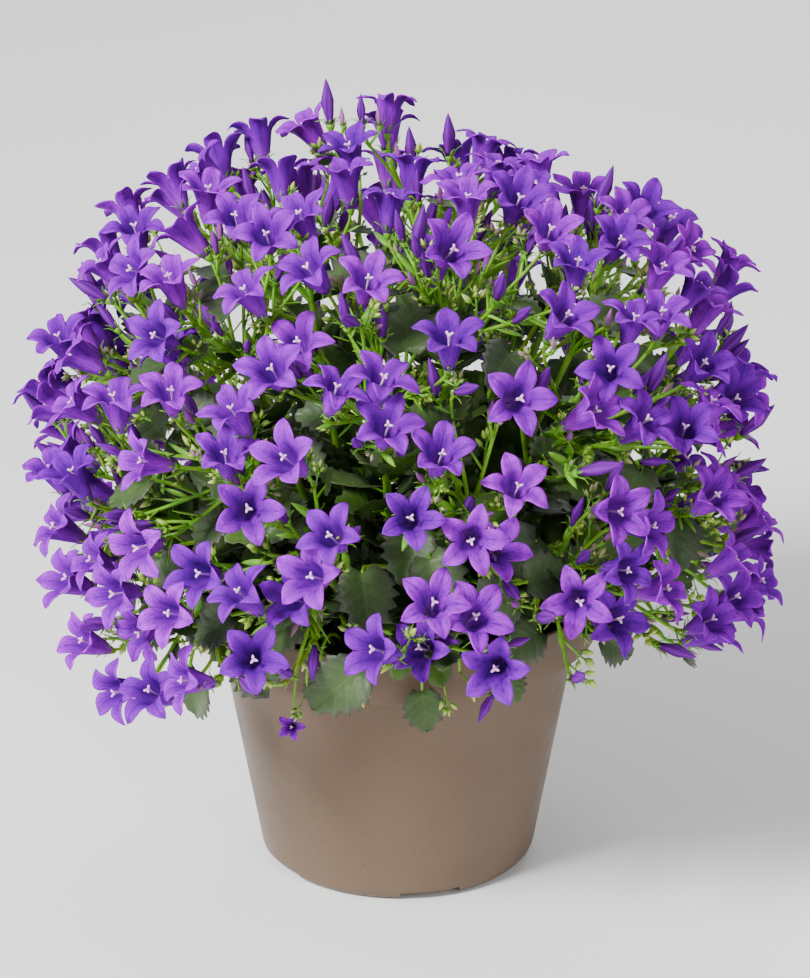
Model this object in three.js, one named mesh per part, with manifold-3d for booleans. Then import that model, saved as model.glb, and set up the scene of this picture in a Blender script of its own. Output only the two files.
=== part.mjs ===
import * as THREE from "three";
import { mergeVertices } from "three/addons/utils/BufferGeometryUtils.js";
import Module from "manifold-3d";

// A bellflower in full bloom, in a plain tapered nursery pot.
// Millimetres, +Z up. The origin is the middle of the pot's foot, on the surface that it stands on.
// The pot holds a plug of potting soil. Flowering sprays and leafy shoots stand in holes in the soil.
// Each spray is one body: a stem, its flower stalks, open bells and buds. Each shoot is one body too.
// -Y is the front. Azimuths run anticlockwise from +X, in degrees.

const wasm = await Module();
wasm.setup();

// Driving dimensions of the pot
const pot = {
  height: 94,
  footRadius: 44.5,
  shoulderRadius: 58, // the body's top, just under the collar
  collarRadius: 65.5,
  collarHeight: 15,
  collarStep: 2.5, // height of the sloped step between body and collar
  collarLean: 0.6, // how much wider the collar is at its top
  wall: 1.6,
  floor: 4.8,
  cornerRadius: 3,
  sides: 24,
};
const drain = {
  count: 5,
  firstAzimuth: 283.6,
  width: 23,
  slope: 2, // how far each end of a gap leans
  height: 3,
  padRadius: 13,
  ringWidth: 6,
  reachIn: 10, // a gap is cut from this far inside the foot's edge to this far outside it
  reachOut: 4,
  holeRadius: 3.5,
  holeAt: 30,
  holeSides: 8,
};
const soil = {
  top: 82,
  gap: 0.3, // to the pot, and under each stem
  flatGap: 0.25, // more room, since a polygon's flats lie inside its corners
  sides: 20,
  holeDepth: 9,
  holeRadius: 3.2,
  holeSides: 4,
};

// Driving dimensions of the plant
const dome = { centre: 100, spread: 117, rise: 132, squareness: 3 };
// The dome grows out (gain above 0) or draws in (below 0) round these directions
const bulges = [
  { azimuth: 45, elevation: 58, gain: -0.04, spread: 10 },
  { azimuth: 30, elevation: 51, gain: -0.05, spread: 8 },
  { azimuth: 112, elevation: 67, gain: 0.14, spread: 9 },
  { azimuth: 74, elevation: 68, gain: 0.03, spread: 8 },
  { azimuth: 150, elevation: 50, gain: 0.05, spread: 11 },
  { azimuth: 163, elevation: 36, gain: -0.04, spread: 8 },
  { azimuth: 20, elevation: 41, gain: 0.1, spread: 8 },
  { azimuth: 6, elevation: 14, gain: -0.08, spread: 8 },
  { azimuth: 1, elevation: 0, gain: 0.06, spread: 9 },
  { azimuth: 352, elevation: -18, gain: -0.1, spread: 14 },
  { azimuth: 172, elevation: 22, gain: 0.03, spread: 9 },
  { azimuth: 183, elevation: -8, gain: -0.27, spread: 17 },
  { azimuth: 216, elevation: -20, gain: -0.1, spread: 14 },
];
const skirt = { level: -9, frontLift: 12, leftDrop: 14, leftAt: 216, leftSpread: 17 };
const counts = { sprays: 32, shoots: 16, sites: 310, leaves: 118, budShare: 0.15 };
const stem = {
  radius: 1.5,
  straight: 14, // upright run above the soil
  steps: 4,
  headDepth: 7, // below its flat top, from which the stalks spring
  slotEdge: 1.9,
  leastRing: 3.2, // radius of the slots round the middle one
  lowestFork: 6, // elevation, so that heads stay above the rim
  fan: 100, // degrees from the top of the dome down, over which the feet move outward
};
// Forks lie at a share of the bells' reach. Feet lie from near the middle out, on the soil.
const sprayStem = { firstAzimuth: 0.4, fork: 0.7, slotGap: 2.7, footNear: 6, footSpan: 42, droop: 0 };
const shootStem = { firstAzimuth: 2.2, fork: 0.5, slotGap: 3.6, footNear: 12, footSpan: 30, droop: 5 };
const clearance = 0.35; // least gap between one spray or shoot and the next
const rootGap = 0.15; // least gap between two stalks' roots
// A bell or bud takes the first place that is free. Each try lies deeper than the last.
const flowering = {
  seed: 11,
  firstAzimuth: 1.1,
  jitter: 0.12, // radians
  leastWidth: 0.25, // of the dome's girth, for the jitter near its top
  aim: 0.9, // share of the reach that settles the order of the stalks
  gather: 0.08, // share of the way that sites are drawn to their spray
  rise: 0.25, // how much the bells turn up from facing straight out
  lean: 1.0, // how much they lean at random, and on the later tries
  laterLean: 0.3,
  leaningTries: 6,
  tries: 13,
  depthStep: 3.2,
  drawIn: 0.02,
  budDepth: 6,
  size: 0.9,
  sizeSpread: 0.13,
  stalkSpread: 0.4, // least cosines from stalk to spray, and from stalk to bell
  stalkBend: 0.2,
};
const leafing = {
  seed: 5,
  firstAzimuth: 0.2,
  aim: 0.8,
  drop: 3, // degrees
  tries: 30,
  share: 0.88, // of the bells' reach
  shareSpread: 0.05,
  shareStep: 0.01,
  shiftStep: 0.012,
  shiftTurns: 5,
  turn: 2.4,
  turnStep: 1.2,
  rise: 0.35,
  wobble: 0.6,
  size: 0.85,
  sizeSpread: 0.3,
  sizeStep: 0.006,
  stalkBend: 0.3,
};
// A stem that would meet another tries new azimuths for its head and new places for its foot
const routing = { sways: [0, 1, -1, 2, -2], headSway: 5, footSway: 7, footStep: 3 };
const bell = {
  stalk: 0.85,
  calyx: 1.7,
  length: 12.5, // from the calyx to the mouth
  notch: 5.1,
  keel: 7.2,
  tip: 12.2,
  throat: 6,
  keelDrop: 0.9,
  keelLift: 0.3,
  lift: 4.5, // how far a young bell's tips point forward, and an old one's back
  fall: 0.5,
  narrowing: 1.2,
};
const bud = { length: 15, girth: 2.5, belly: 0.55 };
const leaf = {
  length: 18,
  width: 17,
  thickness: 0.9,
  cup: 1.6,
  stalk: 0.9,
  taper: 0.25, // of the stalk, from the leaf down to its root
  neckAt: 0.06, // shares of the length: the stalk's end, the thickest spot, the keel's end
  thickAt: 0.4,
  heelAt: 0.16,
  heelDrop: 0.5,
  centreAt: 0.45,
};

const degrees = Math.PI / 180;
const goldenAngle = Math.PI * (3 - Math.sqrt(5));
const up = new THREE.Vector3(0, 0, 1);

// Seeded random numbers from 0 to 1
function randomStream(seed) {
  let state = seed >>> 0;
  return () => {
    state = (state + 0x6d2b79f5) >>> 0;
    let t = state;
    t = Math.imul(t ^ (t >>> 15), t | 1);
    t ^= t + Math.imul(t ^ (t >>> 7), t | 61);
    return ((t ^ (t >>> 14)) >>> 0) / 4294967296;
  };
}

// Solids from three.js geometries and from bare points and faces
function solidOf(geometry) {
  const bare = geometry.index ? geometry.toNonIndexed() : geometry.clone();
  bare.deleteAttribute("normal");
  bare.deleteAttribute("uv");
  const merged = mergeVertices(bare, 1e-4);
  return new wasm.Manifold(
    new wasm.Mesh({
      numProp: 3,
      vertProperties: merged.attributes.position.array,
      triVerts: new Uint32Array(merged.index.array),
    }),
  );
}

function geometryFrom(points, faces) {
  const geometry = new THREE.BufferGeometry();
  const numbers = points.flatMap((p) => [p.x, p.y, p.z]);
  geometry.setAttribute("position", new THREE.Float32BufferAttribute(numbers, 3));
  geometry.setIndex(faces.flat());
  return geometry;
}

function geometryOf(solid) {
  const mesh = solid.getMesh();
  const geometry = new THREE.BufferGeometry();
  geometry.setAttribute("position", new THREE.BufferAttribute(mesh.vertProperties, 3));
  geometry.setIndex(new THREE.BufferAttribute(mesh.triVerts, 1));
  return geometry;
}

// Directions from the middle of the dome, and how far the bells' mouths lie from it
function direction(azimuth, elevation) {
  return new THREE.Vector3(
    Math.cos(elevation) * Math.cos(azimuth),
    Math.cos(elevation) * Math.sin(azimuth),
    Math.sin(elevation),
  );
}

const bulgeList = bulges.map((b) => ({
  ...b,
  toward: direction(b.azimuth * degrees, b.elevation * degrees),
}));

function reach(toward) {
  const across = Math.hypot(toward.x, toward.y) / dome.spread;
  const rising = Math.abs(toward.z) / dome.rise;
  const p = dome.squareness;
  let far = (across ** p + rising ** p) ** (-1 / p);
  for (const b of bulgeList) {
    const off = Math.acos(Math.min(1, b.toward.dot(toward))) / (b.spread * degrees);
    far *= 1 + b.gain * Math.exp(-off * off);
  }
  return far;
}

// The lowest elevation of the flowers at an azimuth
function skirtAt(azimuth) {
  const front = Math.max(0, -Math.sin(azimuth));
  const turn = ((azimuth / degrees) % 360 + 360) % 360;
  const left = (turn - skirt.leftAt) / skirt.leftSpread;
  return (
    (skirt.level + skirt.frontLift * front * front - skirt.leftDrop * Math.exp(-left * left)) *
    degrees
  );
}

// Even directions over the dome by the golden angle
function spread(count, turn) {
  const found = [];
  for (let i = 0; i < count; i++) {
    const azimuth = turn + i * goldenAngle;
    const lowest = Math.sin(skirtAt(azimuth));
    const height = 1 - ((i + 0.5) / count) * (1 - lowest);
    found.push({ azimuth, elevation: Math.asin(height) });
  }
  return found;
}

const middle = new THREE.Vector3(0, 0, dome.centre);

// Points on a ring about a line, at given angles from a reference
function ringAround(centre, axis, side, radius, angles) {
  const other = new THREE.Vector3().crossVectors(axis, side);
  return angles.map((a) =>
    centre
      .clone()
      .addScaledVector(side, radius * Math.cos(a))
      .addScaledVector(other, radius * Math.sin(a)),
  );
}

function across(axis, hint) {
  return hint.clone().addScaledVector(axis, -hint.dot(axis)).normalize();
}

function anyAcross(axis) {
  return across(axis, Math.abs(axis.z) < 0.9 ? up : new THREE.Vector3(1, 0, 0));
}

function turns(count, first = 0) {
  return Array.from({ length: count }, (_, k) => first + (k * 2 * Math.PI) / count);
}

const thirds = turns(3);

// Triangles between two rings of unlike counts, each given by rising angles within one turn
function stitch(low, lowAngles, high, highAngles) {
  const faces = [];
  const at = (angles, i) => angles[i % angles.length] + 2 * Math.PI * Math.floor(i / angles.length);
  let i = 0;
  let j = 0;
  while (i < low.length || j < high.length) {
    const lowNext = i < low.length ? at(lowAngles, i + 1) : Infinity;
    const highNext = j < high.length ? at(highAngles, j + 1) : Infinity;
    if (lowNext <= highNext) {
      faces.push([low[i % low.length], low[(i + 1) % low.length], high[j % high.length]]);
      i++;
    } else {
      faces.push([low[i % low.length], high[(j + 1) % high.length], high[j % high.length]]);
      j++;
    }
  }
  return faces;
}

function risingAngles(angles) {
  const turn = 2 * Math.PI;
  return angles
    .map((a, index) => ({ a: ((a % turn) + turn) % turn, index }))
    .sort((p, q) => p.a - q.a);
}

// A prism between two rings of three points each
function prism(low, high) {
  return [0, 1, 2].flatMap((k) => {
    const n = (k + 1) % 3;
    return [
      [low[k], low[n], high[k]],
      [low[n], high[n], high[k]],
    ];
  });
}

// A stalk leaves its stem's flat head with its own girth: its ring is carried back onto that plane
function ringOnHead(ring, along, { top, toward }) {
  const slope = along.dot(toward);
  return ring.map((p) =>
    p.clone().addScaledVector(along, -p.clone().sub(top).dot(toward) / slope),
  );
}

// The pieces below are lists of points and faces. Each starts with the three points of its
// stalk's root and leaves the root open, for the stem's head to close.

// An open bell: a three-sided stalk, a flared tube and five pointed lobes
function bellPiece(head, exit, { mouth, axis, opening, roll, size }, grow) {
  const calyx = mouth.clone().addScaledVector(axis, -bell.length * size);
  const along = calyx.clone().sub(exit).normalize();
  const side = anyAcross(along);
  const face = across(axis, side);
  const points = [
    ...ringOnHead(ringAround(calyx, along, side, bell.stalk + grow, thirds), along, head),
    ...ringAround(calyx, along, side, bell.calyx + grow, thirds),
  ];
  const faces = prism([0, 1, 2], [3, 4, 5]);
  const lift = (1 - opening) * bell.lift - bell.fall;
  const tipRadius = (bell.tip - (1 - opening) * bell.narrowing) * size;
  const rim = [];
  for (const a of turns(5, roll)) {
    const [keel] = ringAround(mouth, axis, face, bell.keel * size, [a]);
    const [notch] = ringAround(mouth, axis, face, bell.notch * size, [a + Math.PI / 5]);
    const [tip] = ringAround(mouth, axis, face, tipRadius, [a]);
    keel.addScaledVector(axis, lift * bell.keelLift - bell.keelDrop);
    tip.addScaledVector(axis, lift);
    rim.push({ a, keel: points.length, notch: points.length + 1, tip: points.length + 2 });
    points.push(keel, notch, tip);
  }
  const throat = points.length;
  points.push(calyx.clone().addScaledVector(axis, bell.throat * size));
  rim.forEach((here, k) => {
    const before = rim[(k + 4) % 5];
    faces.push([throat, before.notch, here.notch], [before.notch, here.tip, here.notch]);
    faces.push([here.notch, here.tip, here.keel], [here.keel, here.tip, before.notch]);
  });
  const outer = risingAngles(rim.flatMap((r) => [r.a, r.a + Math.PI / 5]));
  const ids = rim.flatMap((r) => [r.keel, r.notch]);
  const band = outer.map((o) => ids[o.index]);
  faces.push(...stitch([3, 4, 5], thirds, band, outer.map((o) => o.a)));
  return { points, faces };
}

// A closed bud on its stalk
function budPiece(head, exit, { mouth, axis, size }, grow) {
  const length = bud.length * size;
  const calyx = mouth.clone().addScaledVector(axis, -length);
  const along = calyx.clone().sub(exit).normalize();
  const side = anyAcross(along);
  const face = across(axis, side);
  const belly = calyx.clone().addScaledVector(axis, length * bud.belly);
  const quarters = turns(4, 0.3);
  const points = [
    ...ringOnHead(ringAround(calyx, along, side, bell.stalk + grow, thirds), along, head),
    ...ringAround(calyx, along, side, bell.calyx + grow, thirds),
    ...ringAround(belly, axis, face, bud.girth * size + grow, quarters),
    mouth.clone().addScaledVector(axis, grow),
  ];
  const faces = prism([0, 1, 2], [3, 4, 5]);
  faces.push(...stitch([3, 4, 5], thirds, [6, 7, 8, 9], quarters));
  for (let k = 0; k < 4; k++) faces.push([6 + k, 6 + ((k + 1) % 4), 10]);
  return { points, faces };
}

// A toothed leaf on its stalk: half its outline, as shares of its length and width
const halfLeaf = [
  [-0.06, 0.28],
  [0.2, 0.5],
  [0.36, 0.37],
  [0.58, 0.38],
  [0.66, 0.24],
];

function leafPiece(head, exit, { base, along, normal, size }, grow) {
  const side = new THREE.Vector3().crossVectors(normal, along);
  const widen = 1 + grow / 8;
  const place = (x, y, z) =>
    base
      .clone()
      .addScaledVector(along, x * leaf.length * size * widen)
      .addScaledVector(side, y * leaf.width * size * widen)
      .addScaledVector(normal, z);
  const neck = (leaf.stalk + grow) / (leaf.width * size);
  const outline = [
    [leaf.neckAt, neck],
    [leaf.neckAt, -neck],
    ...halfLeaf.map(([x, y]) => [x, -y]),
    [1, 0],
    ...halfLeaf.toReversed(),
  ];
  const under = -leaf.thickness - grow;
  const blade = outline.map(([x, y]) => place(x, y, leaf.cup * 2 * Math.abs(y)));
  blade.push(place(leaf.thickAt, 0, grow), place(leaf.thickAt, 0, under));
  blade.push(place(leaf.heelAt, 0, under - leaf.heelDrop));
  const [top, bottom, heel] = [3 + outline.length, 4 + outline.length, 5 + outline.length];
  const stalk = base.clone().sub(exit).normalize();
  const neckRing = [blade[0], blade[1], blade.at(-1)];
  const neckMiddle = neckRing.reduce((sum, p) => sum.add(p), new THREE.Vector3()).divideScalar(3);
  const slim = neckRing.map((p) => p.clone().lerp(neckMiddle, leaf.taper));
  const points = [...ringOnHead(slim, stalk, head), ...blade];
  const faces = prism([0, 1, 2], [3, 4, heel]);
  for (let k = 0; k < outline.length; k++) {
    const n = (k + 1) % outline.length;
    faces.push([3 + k, 3 + n, top]);
    if (k > 0) faces.push([3 + n, 3 + k, bottom]);
  }
  faces.push([4, heel, bottom], [heel, 3, bottom]);
  return { points, faces };
}

// The pot: a lathed shell with a foot ring, drain gaps under it and holes in its floor
function latheSolid(profile, sides) {
  const points = profile.map(([r, z]) => new THREE.Vector2(r, z));
  return solidOf(new THREE.LatheGeometry(points, sides).rotateX(Math.PI / 2));
}

function potSolid() {
  const collarBase = pot.height - pot.collarHeight;
  const shoulder = collarBase - pot.collarStep;
  const ringInner = pot.footRadius - drain.ringWidth;
  const draft = (pot.shoulderRadius - pot.footRadius) / shoulder;
  const wallAt = (z) => pot.footRadius + draft * z - pot.wall;
  const c = pot.cornerRadius;
  const shell = latheSolid(
    [
      [0, 0],
      [drain.padRadius, 0],
      [drain.padRadius, drain.height],
      [ringInner, drain.height],
      [ringInner, 0],
      [pot.footRadius - c, 0],
      [pot.footRadius - 0.3 * c, 0.3 * c],
      [pot.footRadius + draft * c, c],
      [pot.shoulderRadius, shoulder],
      [pot.collarRadius - pot.collarLean, collarBase],
      [pot.collarRadius, pot.height],
      [pot.collarRadius - pot.wall, pot.height],
      [pot.collarRadius - pot.wall - pot.collarLean, collarBase],
      [wallAt(shoulder), shoulder],
      [wallAt(pot.floor + c), pot.floor + c],
      [wallAt(pot.floor) - c, pot.floor],
      [0, pot.floor],
    ],
    pot.sides,
  );
  let cuts = null;
  for (let k = 0; k < drain.count; k++) {
    const azimuth = drain.firstAzimuth * degrees + (k * 2 * Math.PI) / drain.count;
    const half = drain.width / 2;
    const gap = new THREE.Shape([
      new THREE.Vector2(-half, -1),
      new THREE.Vector2(half, -1),
      new THREE.Vector2(half - drain.slope, drain.height),
      new THREE.Vector2(-half + drain.slope, drain.height),
    ]);
    const depth = drain.reachIn + drain.reachOut;
    const tunnel = new THREE.ExtrudeGeometry(gap, { depth, bevelEnabled: false });
    tunnel.rotateX(Math.PI / 2).rotateZ(Math.PI / 2);
    tunnel.translate(pot.footRadius - drain.reachIn, 0, 0);
    tunnel.rotateZ(azimuth);
    const { holeRadius, holeAt, holeSides } = drain;
    const hole = new THREE.CylinderGeometry(holeRadius, holeRadius, pot.floor + 2, holeSides);
    hole.rotateX(Math.PI / 2).translate(holeAt, 0, pot.floor / 2);
    hole.rotateZ(azimuth + Math.PI / drain.count);
    for (const cut of [solidOf(tunnel), solidOf(hole)]) cuts = cuts ? cuts.add(cut) : cut;
  }
  return shell.subtract(cuts);
}

// The soil: a plug that fills the pot, with a plain hole for the foot of every stem
function soilSolid(feet) {
  const collarBase = pot.height - pot.collarHeight;
  const shoulder = collarBase - pot.collarStep;
  const draft = (pot.shoulderRadius - pot.footRadius) / shoulder;
  const inside = pot.wall + soil.gap + soil.flatGap;
  const wallAt = (z) => pot.footRadius + draft * z - inside;
  const bottom = pot.floor + soil.gap;
  const c = pot.cornerRadius;
  const plug = latheSolid(
    [
      [0, bottom],
      [wallAt(bottom) - c - soil.gap, bottom],
      [wallAt(bottom + c) - soil.gap, bottom + c],
      [wallAt(shoulder), shoulder],
      [pot.collarRadius - pot.collarLean - inside, collarBase + soil.gap],
      [pot.collarRadius - pot.collarLean - inside, soil.top],
      [0, soil.top],
    ],
    soil.sides,
  );
  let holes = null;
  for (const foot of feet) {
    const shape = new THREE.CylinderGeometry(
      soil.holeRadius,
      soil.holeRadius,
      soil.holeDepth * 2,
      soil.holeSides,
    );
    shape.rotateX(Math.PI / 2).translate(foot.x, foot.y, soil.top);
    const hole = solidOf(shape);
    holes = holes ? holes.add(hole) : hole;
  }
  return plug.subtract(holes);
}

// Keeping pieces clear of each other: every placed piece, by the node that it belongs to
const placed = [];

function closed({ points, faces }) {
  return solidOf(geometryFrom(points, [[0, 2, 1], ...faces]));
}

function ballOf(points) {
  return new THREE.Box3().setFromPoints(points).getBoundingSphere(new THREE.Sphere());
}

function meets(solid, ball, others) {
  return others.some(
    (other) => other.ball.intersectsSphere(ball) && !solid.intersect(other.solid).isEmpty(),
  );
}

// Two convex outlines in a plane, apart by the gap given along some edge's normal
function apart(a, b, gap) {
  const splits = (from, to) =>
    from.some((p, k) => {
      const edge = from[(k + 1) % from.length].clone().sub(p);
      const normal = new THREE.Vector2(edge.y, -edge.x).normalize();
      return to.every((q) => q.clone().sub(p).dot(normal) > gap);
    });
  return splits(a, b) || splits(b, a);
}

// A stalk's root lies within its stem's head and clear of the other roots on it
function rootFits(node, points) {
  const root = points.slice(0, 3).map((p) => onHead(node, p));
  const inner = node.headRadius * Math.cos(Math.PI / 6) - rootGap;
  return (
    root.every((p) => p.length() < inner) &&
    node.pieces.every(({ points: others }) =>
      apart(root, others.slice(0, 3).map((p) => onHead(node, p)), rootGap),
    )
  );
}

function onHead({ top, toward, side }, point) {
  const other = new THREE.Vector3().crossVectors(toward, side);
  const off = point.clone().sub(top);
  return new THREE.Vector2(off.dot(side), off.dot(other));
}

// Tries a piece: with some room about it beside other nodes' pieces, and as it is beside its own
function fits(make, stemNode) {
  const grown = make(clearance);
  const ball = ballOf(grown.points);
  const others = placed.filter((other) => other.owner !== stemNode.name);
  if (meets(closed(grown), ball, others)) return null;
  const piece = make(0);
  if (!rootFits(stemNode, piece.points)) return null;
  const solid = closed(piece);
  if (meets(solid, ball, stemNode.pieces)) return null;
  stemNode.pieces.push({ solid, ball, ...piece });
  placed.push({ owner: stemNode.name, solid, ball });
  return piece;
}

// A stem's flat head, which its stalks spring from
function placeHead(node, azimuth) {
  const toward = direction(azimuth, node.elevation);
  const forkToward = direction(azimuth, Math.max(node.elevation, stem.lowestFork * degrees));
  const top = middle.clone().addScaledVector(forkToward, node.fork * reach(forkToward));
  Object.assign(node, { toward, azimuth, top, side: anyAcross(toward) });
}

// The stem: up out of its hole, clear over the rim, then out to the head. Where it would meet
// another stem, its foot is moved.
function routeStem(node, attempt, grow) {
  const { sways, footSway, footStep } = routing;
  const swing = sways[attempt % sways.length] * footSway * degrees;
  const footRadius = node.footRadius - footStep * (attempt % 3);
  const low = node.top.clone().addScaledVector(node.toward, -stem.headDepth);
  const foot = new THREE.Vector3(
    footRadius * Math.cos(node.azimuth + swing),
    footRadius * Math.sin(node.azimuth + swing),
    soil.top - soil.holeDepth + soil.gap,
  );
  const collar = foot.clone().addScaledVector(up, soil.holeDepth + 1);
  const knee = collar.clone().addScaledVector(up, stem.straight);
  const path = new THREE.QuadraticBezierCurve3(collar, knee, low);
  const frames = path.computeFrenetFrames(stem.steps);
  const radius = stem.radius + grow;
  const rings = [ringAround(foot, up, frames.normals[0], radius, thirds)];
  for (let i = 0; i <= stem.steps; i++) {
    const centre = path.getPointAt(i / stem.steps);
    rings.push(ringAround(centre, frames.tangents[i], frames.normals[i], radius, thirds));
  }
  const rim = ringAround(node.top, node.toward, node.side, node.headRadius + grow, turns(6));
  return { foot, rings, rim };
}

function settleStem(node) {
  const aim = node.azimuth;
  const { sways, headSway } = routing;
  for (let attempt = 0; attempt < sways.length ** 2; attempt++) {
    placeHead(node, aim + sways[Math.floor(attempt / sways.length)] * headSway * degrees);
    assignSlots(node);
    Object.assign(node, routeStem(node, attempt, clearance));
    const ball = ballOf([...node.rings.flat(), ...node.rim]);
    if (meets(solidOf(stemGeometry(node, [])), ball, placed)) continue;
    Object.assign(node, routeStem(node, attempt, 0));
    placed.push({ owner: node.name, solid: solidOf(stemGeometry(node, [])), ball });
    return;
  }
  throw new Error(`${node.name} finds no way clear`);
}

// Slots on a stem's head, one a stalk: one in the middle and the rest round it, in the order of
// the directions that the stalks take
function assignSlots(node) {
  const other = new THREE.Vector3().crossVectors(node.toward, node.side);
  for (const site of node.sites) {
    const off = site.target.clone().sub(node.top);
    site.angle = Math.atan2(off.dot(other), off.dot(node.side));
    site.aside = off.normalize().dot(node.toward);
  }
  const ordered = node.sites.toSorted((a, b) => b.aside - a.aside);
  const round = ordered.slice(1).toSorted((a, b) => a.angle - b.angle);
  const ring = Math.max(stem.leastRing, (node.slotGap * round.length) / (2 * Math.PI));
  const step = (2 * Math.PI) / Math.max(1, round.length);
  const lead =
    round.reduce((sum, site, k) => sum + site.angle - k * step, 0) / Math.max(1, round.length);
  round.forEach((site, k) => {
    [site.exit] = ringAround(node.top, node.toward, node.side, ring, [lead + k * step]);
  });
  if (ordered.length) ordered[0].exit = node.top.clone();
  node.headRadius = (ring + stem.slotEdge) / Math.cos(Math.PI / 6);
}

// The whole node as one closed skin: foot, stem, head, and every piece on its slot
function stemGeometry(node, pieces) {
  const { rim } = node;
  const flat = (p) => onHead(node, p);
  const points = node.rings.flat();
  const faces = [[0, 2, 1]];
  for (let i = 0; i < node.rings.length - 1; i++) {
    const low = [0, 1, 2].map((k) => 3 * i + k);
    faces.push(...prism(low, low.map((k) => k + 3)));
  }
  const neck = [0, 1, 2].map((k) => points.length - 3 + k);
  const neckAngles = risingAngles(
    neck.map((k) => {
      const spot = flat(points[k]);
      return Math.atan2(spot.y, spot.x);
    }),
  );
  const first = points.length;
  points.push(...rim);
  faces.push(
    ...stitch(
      neckAngles.map((o) => neck[o.index]),
      neckAngles.map((o) => o.a),
      [0, 1, 2, 3, 4, 5].map((k) => first + k),
      turns(6),
    ),
  );
  const lid = [...rim];
  const ids = rim.map((_, k) => first + k);
  for (const piece of pieces) {
    const start = points.length;
    points.push(...piece.points);
    faces.push(...piece.faces.map((f) => f.map((k) => k + start)));
    lid.push(...piece.points.slice(0, 3));
    ids.push(start, start + 1, start + 2);
  }
  const spots = lid.map(flat);
  const holes = pieces.map((_, k) => spots.slice(6 + 3 * k, 9 + 3 * k).reverse());
  const order = [0, 1, 2, 3, 4, 5];
  for (let k = 6; k < lid.length; k += 3) order.push(k + 2, k + 1, k);
  for (const [a, b, c] of THREE.ShapeUtils.triangulateShape(spots.slice(0, 6), holes)) {
    const [p, q, r] = [order[a], order[b], order[c]];
    const turn = spots[q].clone().sub(spots[p]).cross(spots[r].clone().sub(spots[p]));
    faces.push(turn > 0 ? [ids[p], ids[q], ids[r]] : [ids[p], ids[r], ids[q]]);
  }
  return geometryFrom(points, faces);
}

const potBody = potSolid();
const everywhere = new THREE.Sphere(middle, Infinity);
placed.push({ owner: "pot", solid: potBody, ball: everywhere });

const numbered = (kind, index) => `${kind}_${String(index + 1).padStart(2, "0")}`;

function startStems(kind, count, shape) {
  return spread(count, shape.firstAzimuth).map(({ azimuth, elevation }, index) => {
    const outward = (90 * degrees - elevation) / (stem.fan * degrees);
    const node = { name: numbered(kind, index), azimuth, pieces: [], sites: [], ...shape };
    node.elevation = elevation - shape.droop * degrees;
    node.footRadius = shape.footNear + shape.footSpan * outward;
    placeHead(node, azimuth);
    return node;
  });
}

const sprays = startStems("spray", counts.sprays, sprayStem);
const shoots = startStems("leaves", counts.shoots, shootStem);

function nearest(list, toward) {
  return list.reduce((a, b) => (b.toward.dot(toward) > a.toward.dot(toward) ? b : a));
}

// Bells and buds over the whole dome, each on the nearest spray
function addFlowerSites() {
  const draw = randomStream(flowering.seed);
  const { jitter, leastWidth, gather, aim: aimShare, firstAzimuth } = flowering;
  for (const { azimuth, elevation } of spread(counts.sites, firstAzimuth)) {
    const width = Math.max(leastWidth, Math.cos(elevation));
    const turned = azimuth + ((draw() - 0.5) * jitter) / width;
    const aim = direction(turned, elevation + (draw() - 0.5) * jitter);
    const isBud = draw() < counts.budShare;
    const lean = new THREE.Vector3(draw() - 0.5, draw() - 0.5, draw() - 0.5);
    const look = { roll: draw() * 2 * Math.PI, opening: draw(), bulk: draw() };
    const spray = nearest(sprays, aim);
    const toward = aim.lerp(spray.toward, gather).normalize();
    const target = middle.clone().addScaledVector(toward, aimShare * reach(toward));
    spray.sites.push({ toward, isBud, lean, target, ...look });
  }
}

// Leaves over the dome under the flowers, each on the nearest shoot
function addLeafSites() {
  const draw = randomStream(leafing.seed);
  for (const { azimuth, elevation } of spread(counts.leaves, leafing.firstAzimuth)) {
    const toward = direction(azimuth, elevation - leafing.drop * degrees);
    const draws = [0, 1, 2, 3, 4, 5].map(() => draw());
    const target = middle.clone().addScaledVector(toward, leafing.aim * reach(toward));
    nearest(shoots, toward).sites.push({ toward, draws, target });
  }
}

function growFlower(spray, site) {
  const size = flowering.size + flowering.sizeSpread * site.bulk;
  const makePiece = site.isBud ? budPiece : bellPiece;
  for (let attempt = 0; attempt < flowering.tries; attempt++) {
    const depth = flowering.depthStep * attempt - (site.isBud ? flowering.budDepth * site.bulk : 0);
    const near = site.toward.clone().lerp(spray.toward, flowering.drawIn * attempt).normalize();
    const mouth = middle.clone().addScaledVector(near, reach(near) - depth);
    const lean = attempt < flowering.leaningTries ? flowering.lean : flowering.laterLean;
    const axis = near.addScaledVector(up, flowering.rise).addScaledVector(site.lean, lean);
    axis.normalize();
    const stalk = mouth.clone().addScaledVector(axis, -bell.length * size).sub(site.exit);
    stalk.normalize();
    if (stalk.dot(spray.toward) < flowering.stalkSpread) continue;
    if (stalk.dot(axis) < flowering.stalkBend) continue;
    const form = { ...site, mouth, axis, size };
    if (fits((grow) => makePiece(spray, site.exit, form, grow), spray)) return;
  }
}

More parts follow.
